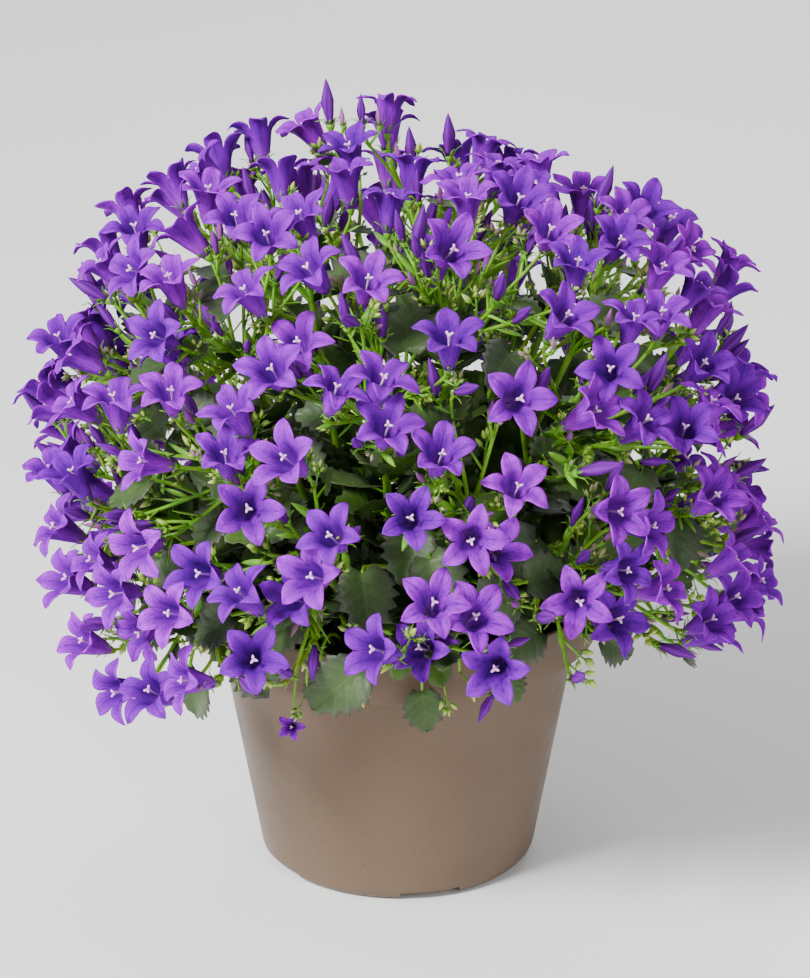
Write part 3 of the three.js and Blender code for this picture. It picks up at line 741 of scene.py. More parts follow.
def potProfile():
    c = potShape
    r, lip = c["corner"], c["lip"]
    slope = math.atan(draft)

    def wallAt(z):
        return c["foot"] + draft * z - c["wall"]

    inner = c["foot"] - c["ring"]
    profile = [(0, 0), (c["pad"], 0), (c["pad"], c["gapHeight"]), (inner, c["gapHeight"]), (inner, 0)]
    profile += arc((c["foot"] + draft * r - r / math.cos(slope), r), r, -90, -math.degrees(slope), 10)
    profile += [(c["foot"] + draft * z, z) for z in (12, 30, 50, shoulderHeight - 1.2)]
    # the shoulder turns softly into the underside of the collar
    profile += [(c["shoulder"] + 0.25, shoulderHeight), (c["collar"] - 1.6, collarBase - 0.5)]
    profile += [(c["collar"] - 0.75, collarBase), (c["collar"] - 0.55, collarBase + 0.8)]
    profile += arc((c["collar"] - lip, c["height"] - lip), lip, 0, 180, 8)
    # down the inside to the floor
    profile += [(c["collar"] - c["wall"] - 0.6, collarBase), (wallAt(shoulderHeight), shoulderHeight)]
    profile += [(wallAt(c["floor"] + r), c["floor"] + r), (wallAt(c["floor"]) - r, c["floor"]), (0, c["floor"])]
    return profile


def makePot():
    c = potShape
    pot = newObject("pot_shell", lathe("pot", potProfile(), c["around"]))
    half, slope, top = c["gapWidth"] / 2, c["gapSlope"], c["gapHeight"]
    for k in range(c["gaps"]):
        azimuth = math.radians(c["firstGap"]) + k * math.tau / c["gaps"]
        verts = []
        for x in (c["foot"] - 10, c["foot"] + 4):
            for y, z in ((-half, -1), (half, -1), (half - slope, top), (slope - half, top)):
                verts.append(Vector((x, y, z)) * mm)
        faces = [[3, 2, 1, 0], [4, 5, 6, 7], [0, 1, 5, 4], [1, 2, 6, 5], [2, 3, 7, 6], [3, 0, 4, 7]]
        gap = meshFrom("gap", verts, faces)
        gap.transform(Matrix.Rotation(azimuth, 4, "Z"))
        cutFrom(pot, gap)
        rim = [(0, -1), (c["hole"], -1), (c["hole"], c["floor"] + 1), (0, c["floor"] + 1)]
        hole = lathe("hole", rim, c["holeAround"])
        hole.transform(Matrix.Translation(polar(1, azimuth + math.pi / c["gaps"]) * c["holeAt"] * mm))
        cutFrom(pot, hole)
    smooth(pot.data).set_sharp_from_angle(angle=math.radians(c["sharpFrom"]))
    pot.data.materials.clear()
    pot.data.materials.append(potFinish)
    place(pot, "pot_plastic", "pot")


# the soil: a rough plug of dark potting mix, crumbs and a few pale grains lying on it

soilShape = {
    "top": 82, "rough": 1.3, "lumps": 160, "play": 0.25, "around": 120, "rings": 20,
    "crumbs": 900, "crumb": 0.9, "crumbKinds": 4, "seed": 5,
}


def roughness(where):
    return soilShape["rough"] * mm * noise.fractal(where * soilShape["lumps"], 0.7, 2.0, 4)


def makeSoil():
    c, p = soilShape, potShape
    inside = p["wall"] + c["play"]
    bottom = p["floor"] + 0.3
    edge = p["collar"] - 0.5 - inside
    bend = bottom + p["corner"]
    profile = [(0, bottom), (p["foot"] + draft * bottom - inside - p["corner"] - 0.3, bottom)]
    profile += [(p["foot"] + draft * bend - inside - 0.2, bend)]
    profile += [(p["foot"] + draft * shoulderHeight - inside, shoulderHeight), (edge - 0.2, collarBase + 0.1)]
    profile += [(edge * (c["rings"] - i) / c["rings"], c["top"]) for i in range(c["rings"] + 1)]
    soil = newObject("soil_plug", lathe("soil", profile, c["around"]))
    for v in soil.data.vertices:
        if v.co.z > c["top"] * mm - 1e-6:
            v.co.z += roughness(v.co)
    soil.data.materials.append(soilFinish)
    place(soil, "soil", "soil")
    rng = random.Random(c["seed"])
    points = []
    for _ in range(c["crumbs"]):
        a, r = rng.uniform(0, math.tau), edge * math.sqrt(rng.random()) * 0.98
        where = polar(r, a, c["top"]) * mm
        where.z += roughness(where)
        axis = Vector((rng.uniform(-1, 1), rng.uniform(-1, 1), rng.uniform(0.3, 1))).normalized()
        size = rng.uniform(0.5, 1.6) ** 1.5
        points.append(point(where, axis, axis.orthogonal(), size, rng.randrange(c["crumbKinds"]), rng.random()))
    place(scatter("soil_crumbs", points, shapeSet("crumbs", c["crumbKinds"], crumb), crumbFinish), "soil")


def crumb(index):
    rng = random.Random(200 + index)
    work = bmesh.new()
    bmesh.ops.create_icosphere(work, subdivisions=1, radius=soilShape["crumb"] * mm)
    for v in work.verts:
        v.co *= rng.uniform(0.6, 1.3)
    mesh = bpy.data.meshes.new(f"crumb{index}")
    work.to_mesh(mesh)
    work.free()
    return mesh


makePot()
makeSoil()
print("pot and soil made")


# open bells: a ribbed tube that parts into five creased lobes

bellShape = {
    "lobes": 5, "columns": 6, "tubeRows": 4, "lobeRows": 6, "lobeWidth": 3.15, "skin": 0.28,
    "foot": 1.5, "belly": 1.4, "notch": 4.9, "notchHeight": 11.9, "tip": 12.2, "tipDrawn": 1.2,
    "crease": 0.75, "ripple": 0.22, "tubeShare": 0.46, "variants": 16, "seed": 3,
}


def corolla(index):
    # rows of points run up the tube and on into each lobe, whose last row is one point
    c = bellShape
    rng = random.Random(c["seed"] * 100 + index)
    opening = (index + 0.5) / c["variants"]
    lift = (1 - opening) * solidForms["liftSpan"] - solidForms["liftDrop"]
    tipRadius = c["tip"] - (1 - opening) * c["tipDrawn"]
    n, lobes, share = c["columns"], c["lobes"], c["tubeShare"]
    lastRow = c["tubeRows"] + c["lobeRows"]
    verts, coords, faces, grid = [], [], [], {}

    def key(lobe, row, j):
        if row <= c["tubeRows"]:
            return "tube", row, (lobe * n + j) % (lobes * n)
        return ("tip", lobe) if row == lastRow else ("lobe", lobe, row, j)

    def add(lobe, row, j, spot, along):
        if key(lobe, row, j) not in grid:
            grid[key(lobe, row, j)] = len(verts)
            verts.append(spot * mm)
            coords.append((abs(j / n * 2 - 1), along))

    for lobe in range(lobes):
        centre = lobe * math.tau / lobes
        curl = rng.uniform(-1.0, 1.6)
        twist = rng.uniform(-0.5, 0.5)
        wide = rng.uniform(0.9, 1.1)
        sway = rng.uniform(-0.6, 0.6)
        out = polar(1, centre)
        aside = Vector((-out.y, out.x, 0))
        for row in range(c["tubeRows"] + 1):
            t = row / c["tubeRows"]
            radius = c["foot"] + c["belly"] * math.sin(min(1, t * 1.4) * math.pi / 2)
            radius += (c["notch"] - c["foot"] - c["belly"]) * t ** 2.2
            for j in range(n + 1):
                s = j / n * 2 - 1
                rib = 0.2 * (1 - abs(s)) ** 2 * math.sin(math.pi * min(1, t * 1.1)) - 0.15 * abs(s) ** 3 * t
                z = c["notchHeight"] * t - 0.9 * abs(s) ** 3 * t ** 5
                add(lobe, row, j, polar(radius + rib, centre + s * math.pi / lobes, z), share * t)
        for row in range(c["tubeRows"] + 1, lastRow + 1):
            t = (row - c["tubeRows"]) / c["lobeRows"]
            width = c["lobeWidth"] * wide * (1 - t) ** 0.95 * (1 + 1.6 * t)
            bow = math.sin(math.pi * min(1, t * 1.05))
            r = lerp(c["notch"] + 0.1, tipRadius, t)
            z = c["notchHeight"] + lift * t ** 1.4 + bow * (1.0 + 0.3 * curl) - 0.4 * t - 0.5 * curl * t ** 3
            for j in range(n + 1):
                s = j / n * 2 - 1
                fold = c["crease"] * abs(s) ** 0.75 * (1 - 0.55 * t) * (0.35 + bow)
                ripple = c["ripple"] * math.sin(6.5 * t + 3 * s + index + lobe * 2) * abs(s)
                spot = out * (r - 0.3 * abs(s) * width * (1 - t)) + aside * (s * width + (twist + sway * t) * t)
                spot.z = z + fold + ripple + twist * s * t * 1.4
                add(lobe, row, j, spot, share + (1 - share) * t)
        for row in range(lastRow):
            for j in range(n):
                above = row + 1
                corners = key(lobe, row, j), key(lobe, row, j + 1), key(lobe, above, j + 1), key(lobe, above, j)
                faces.append([grid[corner] for corner in dict.fromkeys(corners)])
    faces.append([grid[key(0, 0, k)] for k in range(lobes * n)][::-1])
    return withSkin(meshFrom(f"corolla{index}", verts, faces, coords), c["skin"])


def bellPoint(head, rng):
    kind = min(bellShape["variants"] - 1, int(head["opening"] * bellShape["variants"]))
    return point(head["calyx"], head["axis"], head["front"], head["size"], max(0, kind), rng.random())


corollaShapes = shapeSet("corollas", bellShape["variants"], corolla)
tintRandom = random.Random(21)
bellPoints = [bellPoint(h, tintRandom) for h in bells]
# a small late bloom hangs over the front of the rim
lateBloom = point(
    Vector((-32, -65.5, 72)) * mm, Vector((-0.15, -0.85, 0.35)).normalized(), Vector((1, 0, 0)), 0.4, 12, 0.6)
bellPoints.append(lateBloom)
halfBells, halfSprays = len(bells) // 2, len(sprays) // 2
upperBells = scatter("bells_upper", bellPoints[:halfBells], corollaShapes, petalFinish)
lowerBells = scatter("bells_lower", bellPoints[halfBells:], corollaShapes, petalFinish)
place(upperBells, "petals", *sprayNames[:halfSprays])
place(lowerBells, "petals", *sprayNames[halfSprays:])
print("bells made")


# pistils: a pale style with three curled arms in each throat

pistilShape = {
    "from": 1.0, "to": 10.8, "style": 0.3, "knob": 0.62, "arm": 1.1, "arms": 3, "sides": 6, "armSides": 5,
    "variants": 3,
}


def pistil(index):
    c = pistilShape
    rng = random.Random(40 + index)
    lean = Vector((rng.uniform(-0.5, 0.5), rng.uniform(-0.5, 0.5), 0))
    neck = up * c["to"] + lean
    parts = [rod([
        (up * c["from"], 0.45), (up * 6 + lean * 0.4, c["style"]), (neck, c["style"] * 1.3),
        (neck + up * 0.8, c["knob"]), (neck + up * 1.3, c["knob"] * 0.7),
    ], c["sides"])]
    for k in range(c["arms"]):
        out = polar(1, k * math.tau / c["arms"] + rng.uniform(-0.2, 0.2))
        arm = []
        for t in (0, 1 / 3, 2 / 3, 1):
            bent = out * (0.2 + c["arm"] * math.sin(t * 1.5))
            arm.append((neck + bent + up * (0.9 + 0.9 * math.sin(t * 2.4)), lerp(0.52, 0.3, t)))
        parts.append(rod(arm, c["armSides"]))
    return joined(f"pistil{index}", parts)


pistilShapes = shapeSet("pistils", pistilShape["variants"], pistil)
pistilPoints = [{**p, "kind": i % pistilShape["variants"], "tint": 0.5} for i, p in enumerate(bellPoints)]
place(scatter("pistils", pistilPoints, pistilShapes, pistilFinish), "petals")


# calyces: a small green cup under each bell and bud, with five narrow sepals

calyxShape = {
    "cup": 2.6, "girth": 1.6, "sepals": 5, "sepal": 5.0, "sepalWidth": 1.1, "around": 6, "rows": 2, "variants": 4,
}


def calyx(index):
    c = calyxShape
    rng = random.Random(60 + index)
    cup = []
    for t in (0, 1 / 3, 2 / 3, 1):
        cup.append((up * lerp(-c["cup"], 0.1, t), lerp(0.5, c["girth"], math.sin(t * math.pi / 2))))
    parts = [rod(cup, c["around"])]
    spread = rng.uniform(0.3, 0.9)
    for k in range(c["sepals"]):
        out = polar(1, (k + 0.5) * math.tau / c["sepals"] + rng.uniform(-0.12, 0.12))
        aside = Vector((-out.y, out.x, 0))
        verts = []
        for i in range(c["rows"] + 1):
            t = i / c["rows"]
            tilt = spread * (0.5 + t)
            where = out * (c["girth"] * 0.9 + c["sepal"] * t * math.sin(tilt) * 0.8)
            where += up * (0.2 + c["sepal"] * t * math.cos(tilt))
            wide = c["sepalWidth"] / 2 * (1 - t) ** 0.7 + 0.05
            face = out * -math.cos(tilt) + up * math.sin(tilt)
            rim = (where - aside * wide, where + face * 0.12, where + aside * wide, where - face * 0.18)
            verts += [p * mm for p in rim]
        parts.append((verts, capped(c["rows"] + 1, 4), [(0.5, 0.5)] * len(verts)))
    return facingOut(joined(f"calyx{index}", parts))


calyxShapes = shapeSet("calyces", calyxShape["variants"], calyx)


# buds: pleated spindles, from small green ones to long violet ones about to open

budShape = {"length": 15, "girth": 2.2, "pleat": 0.13, "turn": 0.7, "around": 10, "rows": 8, "variants": 4}


def bud(index):
    c = budShape
    rng = random.Random(80 + index)
    n, rows = c["around"], c["rows"]
    verts, coords = [], []
    bend = rng.uniform(-0.7, 0.7)
    slim = rng.uniform(0.86, 1.05)
    for i in range(rows):
        t = i / rows
        swell = 0.42 + 0.58 * math.sin(min(1, t * 1.55) * math.pi / 2)
        girth = c["girth"] * slim * swell * (1 - max(0, t - 0.5) / 0.5) ** 0.75
        for k in range(n):
            r = girth * (1 + c["pleat"] * (1 if k % 2 == 0 else -1) * math.sin(math.pi * min(1, t * 1.2)))
            a = k * math.tau / n + c["turn"] * t
            spot = (r * math.cos(a) + bend * math.sin(t * 2), r * math.sin(a), c["length"] * t)
            verts.append(Vector(spot) * mm)
            coords.append((1.0 if k % 2 else 0.0, t))
    tip = len(verts)
    verts.append(Vector((bend * math.sin(2), 0, c["length"])) * mm)
    coords.append((0.5, 1.0))
    last = (rows - 1) * n
    faces = ladder(rows, n) + [[last + k, last + (k + 1) % n, tip] for k in range(n)] + [list(range(n))[::-1]]
    return meshFrom(f"bud{index}", verts, faces, coords)


budShapes = shapeSet("buds", budShape["variants"], bud)


# stems and stalks, with radii in mm

stalkShape = {"stem": 1.25, "fork": 0.95, "branch": 0.72, "stalk": 0.5, "leaf": 0.6, "steps": 7}


def bezier(a, b, c, d, count):
    points = []
    for i in range(count):
        t = i / (count - 1)
        u = 1 - t
        points.append(a * u ** 3 + b * 3 * u * u * t + c * 3 * u * t * t + d * t ** 3)
    return points


def thinning(spots, first, last):
    # a path for tubes, its radius changing evenly from first to last
    return [(p, lerp(first, last, i / (len(spots) - 1))) for i, p in enumerate(spots)]


def stalkPath(plant, head):
    # from the stem's top through its fork to the flower, bud or leaf
    fork, end, isLeaf = head["fork"], head["calyx"], head["kind"] == "leaf"
    along = (end - fork).normalized()
    length = (end - fork).length
    start = plant["path"][-1]
    into = (head["axis"] + head["front"]).normalized() if isLeaf else head["axis"]
    lower = bezier(start, start.lerp(fork, 0.6) + plant["toward"] * 1.5 * mm, fork - along * 2 * mm, fork, 3)
    upper = bezier(fork, fork + along * length * 0.35, end - into * length * 0.22, end, stalkShape["steps"])
    return lower[:-1] + upper


stems, stalks, leafStalks = [], [], []
for plant in sprays + shoots:
    stems.append(thinning(plant["path"], stalkShape["stem"], stalkShape["fork"]))
    for head in plant["heads"]:
        head["stalk"] = stalkPath(plant, head)
        end, paths = ("leaf", leafStalks) if head["kind"] == "leaf" else ("stalk", stalks)
        paths.append(thinning(head["stalk"], stalkShape["branch"], stalkShape[end]))


def smoothLine(line, count):
    # the same path with count steps for each of its own, rounded at its points
    curve = []
    spots = [p for p, _ in line]
    for i in range(len(spots) - 1):
        before, after = spots[max(i - 1, 0)], spots[min(i + 2, len(spots) - 1)]
        a, d = spots[i], spots[i + 1]
        part = bezier(a, a + (d - before) / 6, d - (after - a) / 6, d, count + 1)
        radius = [lerp(line[i][1], line[i + 1][1], k / count) for k in range(count + 1)]
        curve += list(zip(part, radius))[:-1]
    return curve + [line[-1]]


def sideways(rng, ahead, low, high):
    # a random direction square to the one ahead
    return squareTo(ahead, Vector((rng.uniform(-1, 1), rng.uniform(-1, 1), rng.uniform(low, high))))


# extra buds on twigs that branch off the stalks, and bracts along them

twigShape = {
    "tries": 2, "perStalk": 1.3, "between": (0.4, 0.85), "length": (5, 13), "budSizes": (0.24, 0.92),
    "girth": (0.55, 0.42), "flower": 12, "bractsAt": (0.15, 0.3, 0.45, 0.58, 0.75), "bractShare": 0.8,
    "bractSizes": (0.6, 1.25), "bractKinds": 3, "seed": 17,
}
twigRandom = random.Random(twigShape["seed"])
extraBuds, twigs, bractPoints = [], [], []


def growTwig(spots, reach):
    # reach is how far from the middle of the dome the stalk's own flower comes
    c, rng = twigShape, twigRandom
    at = rng.uniform(*c["between"]) * (len(spots) - 1)
    i = int(at)
    after = spots[min(i + 1, len(spots) - 1)]
    root = spots[i].lerp(after, at - i)
    ahead = (after - spots[i - 1]).normalized()
    side = sideways(rng, ahead, -0.6, 1.2)
    age = rng.random() ** 0.85
    length = lerp(*c["length"], rng.random()) * mm
    way = (ahead + side * rng.uniform(0.5, 0.9)).normalized()
    aim = (ahead + side * 0.25 + up * 0.35).normalized()
    end = root + way * length
    size = lerp(*c["budSizes"], age)
    over = (end + aim * budShape["length"] * size * mm - middle).length - reach
    if over > 0:
        end -= (end - middle).normalized() * over
    bend = bezier(root, root.lerp(end, 0.5) + side * 0.6 * mm, end - aim * length * 0.3, end, 5)
    twigs.append(thinning(bend, *c["girth"]))
    extraBuds.append(point(end, aim, side, size, rng.randrange(budShape["variants"]), age))


def growBract(spots, at):
    rng = twigRandom
    i = int(at * (len(spots) - 1))
    ahead = (spots[i + 1] - spots[i]).normalized()
    side = sideways(rng, ahead, -1, 1)
    bractPoints.append(point(
        spots[i].lerp(spots[i + 1], rng.random()), (ahead * 0.8 + side * 0.7).normalized(), side,
        rng.uniform(*twigShape["bractSizes"]), rng.randrange(twigShape["bractKinds"]), rng.random()))


for head in headsOf(sprays):
    reach = (head["stalk"][-1] + head["axis"] * twigShape["flower"] * mm - middle).length
    for _ in range(twigShape["tries"]):
        if twigRandom.random() <= twigShape["perStalk"] / twigShape["tries"]:
            growTwig(head["stalk"], reach)
    for at in twigShape["bractsAt"]:
        if twigRandom.random() < twigShape["bractShare"]:
            growBract(head["stalk"], at)

# a few long buds reach out of the dome, as (tip in mm, size), each with a small green bud beside it
strayShape = {
    "tips": [
        ((-23, 40, 250), 1.0), ((-12, 47, 243), 0.7), ((67, 0, 233), 1.0), ((-120, 0, 159), 0.95),
        ((120, 0, 154), 1.0),
    ],
    "rootBelow": 22, "girth": (0.62, 0.46), "bractSize": 0.9, "greenSize": 0.42, "greenAway": 7,
}


def growStray(tip, size):
    c = strayShape
    tip = Vector(tip) * mm
    outward = (tip - middle).normalized()
    aim = (outward + up * 0.5).normalized()
    end = tip - aim * budShape["length"] * size * mm
    low = end - outward * c["rootBelow"] * mm
    spots = [p for h in headsOf(sprays) for p in h["stalk"][2:]]
    root = min(spots, key=lambda p: (p - low).length)
    bend = bezier(root, root.lerp(end, 0.4) + outward * 2 * mm, end - aim * 7 * mm, end, 7)
    twigs.append(thinning(bend, *c["girth"]))
    side = squareTo(aim, Vector((1, 0.4, 0)))
    extraBuds.append(point(end, aim, side, size, 1, 0.9))
    for k, turn in ((2, 1), (3, -1), (4, 1)):
        axis = (aim * 0.8 + side * 0.6 * turn).normalized()
        bractPoints.append(point(bend[k], axis, side * turn, c["bractSize"], k % twigShape["bractKinds"], 0.5))
    low = bend[4] + (aim * 0.8 + side * 0.5).normalized() * c["greenAway"] * mm
    twigs.append([(bend[4], 0.45), (bend[4].lerp(low, 0.5) + side * 0.5 * mm, 0.42), (low, 0.4)])
    extraBuds.append(point(low, aim, side, c["greenSize"], 2, 0.3))


for tip, size in strayShape["tips"]:
    growStray(tip, size)

# what hangs over the front of the rim, as (place in mm, direction, size)
overRim = {
    "leaf": [
        ((7.5, -69.5, 86), (0.12, -0.1, -1), 0.78), ((-24, -66, 88), (-0.3, -0.35, -1), 0.5),
        ((34, -63, 89), (0.3, -0.3, -0.9), 0.55),
    ],
    "bud": [((29.5, -65, 83), (-0.45, -0.25, -0.9), 0.72), ((-37, -61, 88), (-0.9, -0.3, -0.3), 0.5)],
    "sprig": [
        ((14, -70.5, 90), (0.1, -0.35, -0.8), 0.95), ((19, -69, 92), (0.5, -0.5, -0.4), 0.85),
        ((-28, -67, 84), (-0.35, -0.3, -0.8), 0.8), ((-12, -69, 91), (0.2, -0.5, -0.6), 0.8),
    ],
}
hangShape = {"from": 91, "rise": 104, "over": 101, "above": 7, "girth": (0.6, 0.42)}


def hangOver(end):
    # a twig from inside the pot, over the rim and down to the point
    c = hangShape
    start = Vector((end.x * 0.7, end.y * 0.7, c["from"] * mm))
    inner = Vector((end.x * 0.86, end.y * 0.86, c["rise"] * mm))
    outer = Vector((end.x, end.y, max(end.z + c["above"] * mm, c["over"] * mm)))
    twigs.append(thinning(bezier(start, inner, outer, end, 9), *c["girth"]))


rimPoints = {}
for kind, places in overRim.items():
    rimPoints[kind] = []
    for index, (where, axis, size) in enumerate(places):
        where = Vector(where) * mm
        hangOver(where)
        rimPoints[kind].append(point(
            where, Vector(axis).normalized(), Vector((0, -1, 0.3)).normalized(), size, index,
            0.7 if kind == "bud" else 0.3))
extraBuds += rimPoints["bud"]
hangOver(lateBloom["where"])

budPoints = []
for head in buds:
    kind = tintRandom.randrange(budShape["variants"])
    budPoints.append(point(
        head["calyx"], head["axis"], head["front"], head["size"], kind, tintRandom.uniform(0.62, 1.0)))
place(scatter("buds", budPoints + extraBuds, budShapes, budFinish), "buds")

calyxPoints = []
for p in bellPoints + budPoints:
    calyxPoints.append({**p, "kind": tintRandom.randrange(calyxShape["variants"]), "tint": 0.5})
for p in extraBuds:
    kind = tintRandom.randrange(calyxShape["variants"])
    calyxPoints.append({**p, "size": 0.35 + 0.6 * p["size"], "kind": kind})
place(scatter("calyces", calyxPoints, calyxShapes, calyxFinish), "stems")
place(tubes("stems", [smoothLine(line, 3) for line in stems] + leafStalks, stalkFinish, 7), "stems")
place(tubes("flower_stalks", stalks + twigs, stalkFinish, 6), "stems")


# bracts: narrow pointed leaflets along the flower stalks

bractShape = {"length": 8.5, "halfWidth": 1.0, "wider": 0.22, "cup": 0.25, "rows": 5, "skin": 0.22}


def bract(index):
    c = bractShape
    rng = random.Random(90 + index)
    verts, coords = [], []
    curl = rng.uniform(0.5, 1.6)
    for i in range(c["rows"]):
        t = i / (c["rows"] - 1)
        w = c["halfWidth"] + c["wider"] * index
        w = w * math.sin(math.pi * (0.12 + 0.88 * t)) ** 0.8 * (1 - 0.3 * t) + 0.04
        where = Vector((curl * t * t, 0, c["length"] * t))
        face = Vector((1, 0, -2 * curl * t / c["length"])).normalized()
        for offset, lift in ((-w, c["cup"] * w), (0, 0), (w, c["cup"] * w)):
            verts.append((where + Vector((0, offset, 0)) + face * lift) * mm)
            coords.append((abs(offset) / max(w, 0.01), t))
    faces = ladder(c["rows"], 3, closed=False)
    return withSkin(meshFrom(f"bract{index}", verts, faces, coords), c["skin"])


place(scatter("bracts", bractPoints, shapeSet("bracts", twigShape["bractKinds"], bract), calyxFinish), "stems")


# leaves: broad, toothed and a little puckered between their veins

leafShape = {
    "length": 18, "halfWidth": 8.5, "toothIn": 0.075, "toothOut": 0.045, "toothLean": 0.035, "skin": 0.26,
    "variants": 6,
}


def leaf(index, teeth, rows):
    # each side is teeth wide along the midrib and rows deep to the edge
    c = leafShape
    rng = random.Random(120 + index)
    fold, droop, wavy = rng.uniform(0.12, 0.42), rng.uniform(0.2, 3.6), rng.uniform(0.5, 1.3)
    roll = rng.uniform(-0.12, 0.12)
    steps = teeth * 2
    verts, faces, coords = [], [], []
    for side in (1, -1):
        uneven = [rng.uniform(0.75, 1.25) for _ in range(steps + 1)]
        for i in range(steps + 1):
            t = i / steps
            edge = 0.5 * math.sin(math.pi * min(1, 0.13 + 0.89 * t ** 0.86)) ** 0.7
            if i == 0:
                ex, ey = -0.06, 0.2
            elif i == steps:
                ex, ey = 1.0, 0.0
            elif i % 2:
                ex, ey = t + c["toothLean"], edge + c["toothOut"] * uneven[i] * math.sin(math.pi * t) ** 0.5
            else:
                ex, ey = t, edge - c["toothIn"] * uneven[i] * math.sin(math.pi * t) ** 0.5
            for j in range(rows + 1):
                u = j / rows
                x = lerp(0.06 + 0.94 * t, ex, u) * c["length"]
                y = ey * u * 2 * c["halfWidth"] * side
                pucker = 0
                if rows > 2:
                    pucker = abs(math.sin((6 * t - 1.4 * u) * math.pi)) * 0.28 * u * (1 - u) * 4 * wavy
                z = fold * abs(y) + pucker - droop * (x / c["length"]) ** 2 + roll * y
                z += 0.7 * wavy * math.sin(4.5 * t + index + side) * u * u
                verts.append(Vector((x, y, z)) * mm)
                coords.append((u, t))
    stride = rows + 1
    for i in range(steps):
        for j in range(rows):
            a = i * stride + j
            b = a + (steps + 1) * stride
            faces.append([a, a + stride, a + stride + 1, a + 1])
            faces.append([b, b + 1, b + stride + 1, b + stride])
    mesh = smooth(facingOut(meshFrom(f"leaf{index}", verts, faces, coords), merge=True))
    # turned so that the blade runs along +Z and faces +X
    mesh.transform(Matrix(((0, 0, 1, 0), (0, 1, 0, 0), (1, 0, 0, 0), (0, 0, 0, 1))))
    return withSkin(mesh, c["skin"])


def leafSet(name, first, teeth, rows):
    return shapeSet(name, leafShape["variants"], lambda i: leaf(first + i, teeth, rows))


bigLeaves = leafSet("bigLeaves", 0, 6, 4)
leafPoints = []
for i, h in enumerate(leaves):
    tint = tintRandom.random() * 0.3
    leafPoints.append(point(h["base"], h["axis"], h["front"], h["size"], i % leafShape["variants"], tint))
place(scatter("leaves", leafPoints, bigLeaves, leafFinish), "leaves", *shootNames)
print("leaves made")

# more leaves, on petioles from the stems and the lower part of the stalks, fill the plant's inside

fillShape = {
    "perStem": 7, "deepPerStem": 9, "perStalk": 0.85, "reach": 0.106, "deepReach": 0.082, "petiole": (3.5, 10),
    "girth": (0.5, 0.38), "blade": 17, "halfBlade": 6, "sizes": (0.65, 1.05), "deepSizes": (0.75, 1.15),
    # tones for near, deep and stalk leaves: the deep leaves' high tone gives them more of the lighter young green
    # as painted light in the plant's shaded inside
    "stalkSizes": (0.4, 0.75), "tones": (0.05, 0.5, 0.15), "toneRange": 0.4, "seed": 31,
}


def offThePot(where, axis, length, half):
    # whether a blade or twig keeps clear of the pot's rim and wall; lengths in mm
    c = potShape
    for t in (0, 0.35, 0.7, 1):
        spot = (where + axis * length * t * mm) / mm
        away = math.hypot(spot.x, spot.y)
        inWall = c["collar"] - c["wall"] - 1.5 - half < away < c["collar"] + 1 + half
        if spot.z < c["height"] + 0.5 + half * 0.5 and inWall:
            return False
        if spot.z < c["height"] - 6 and away < c["collar"] and t > 0:
            return False
    return True


def alongPath(spots, at):
    i = min(int(at), len(spots) - 2)
    return spots[i].lerp(spots[i + 1], at - i), (spots[i + 1] - spots[i]).normalized()


def growLeaf(rng, root, ahead, size, limit, tone, points):
    # limit is how far from the middle of the dome its tip may come
    c = fillShape
    side = sideways(rng, ahead, -0.5, 0.9)
    length = rng.uniform(*c["petiole"]) * size * mm
    outward = (root - middle).normalized()
    way = (ahead * 0.35 + side * 0.8 + outward * 0.25).normalized()
    end = root + way * length
    blade = (way * 0.55 + outward * 0.45 + up * rng.uniform(-0.5, 0.15)).normalized()
    face = outward * 0.8 + up * 0.8 + Vector([rng.uniform(-0.6, 0.6) for _ in range(3)])
    past = (end + blade * c["blade"] * size * mm - middle).length - limit
    if past > 0:
        end -= outward * min(past, length * 0.8)
    if offThePot(end, blade, c["blade"] * size, c["halfBlade"] * size):
        bend = bezier(root, root.lerp(end, 0.4) + side * 0.8 * mm, end - blade * length * 0.3, end, 5)
        petioles.append(thinning(bend, *c["girth"]))
        kind = rng.randrange(leafShape["variants"])
        points.append(point(end, blade, face.normalized(), size, kind, tone + rng.random() * c["toneRange"]))


def fillLeaves():
    c = fillShape
    rng = random.Random(c["seed"])
    # the deep leaves' tone is painted light: a lighter green that lifts their shade
    nearTone, deepPaintedLightTone, stalkTone = c["tones"]
    for plant in sprays + shoots:
        last = len(plant["path"]) - 1
        for _ in range(c["perStem"]):
            root, ahead = alongPath(plant["path"], rng.uniform(1.4, last))
            growLeaf(rng, root, ahead, rng.uniform(*c["sizes"]), c["reach"], nearTone, nearPoints)
        for _ in range(c["deepPerStem"]):
            root, ahead = alongPath(plant["path"], rng.uniform(1.0, last * 0.92))
            growLeaf(rng, root, ahead, rng.uniform(*c["deepSizes"]), c["deepReach"], deepPaintedLightTone, deepPoints)
    for head in headsOf(sprays):
        if rng.random() < c["perStalk"]:
            root, ahead = alongPath(head["stalk"], rng.uniform(0.5, len(head["stalk"]) * 0.62))
            growLeaf(rng, root, ahead, rng.uniform(*c["stalkSizes"]), c["reach"], stalkTone, nearPoints)


nearPoints, deepPoints, petioles = [], [], []
fillLeaves()
smallLeaves, plainLeaves = leafSet("smallLeaves", 10, 5, 2), leafSet("plainLeaves", 20, 5, 1)
place(scatter("inner_leaves", nearPoints + rimPoints["leaf"], smallLeaves, leafFinish), "leaves")
place(scatter("deep_leaves", deepPoints, plainLeaves, leafFinish), "leaves")
place(tubes("petioles", petioles, stalkFinish, 4), "stems")
print(f"{len(nearPoints) + len(deepPoints)} more leaves made")


# sprigs: side twigs with a cluster of tiny green buds and bracts

sprigShape = {
    "length": 9, "buds": 4, "budLength": 3.2, "budGirth": 0.8, "leaflet": (2.4, 4.2), "leafletWidth": 0.42,
    "tries": 2, "perStalk": 1.75, "smallest": 0.45, "past": 4, "sizes": (0.65, 1.15), "leafySizes": (0.7, 1.2),
    "variants": 5, "seed": 47,
}
twigCoord, leafletCoord = (0.0, 0.3), (0.0, 0.4)  # where these parts read the material


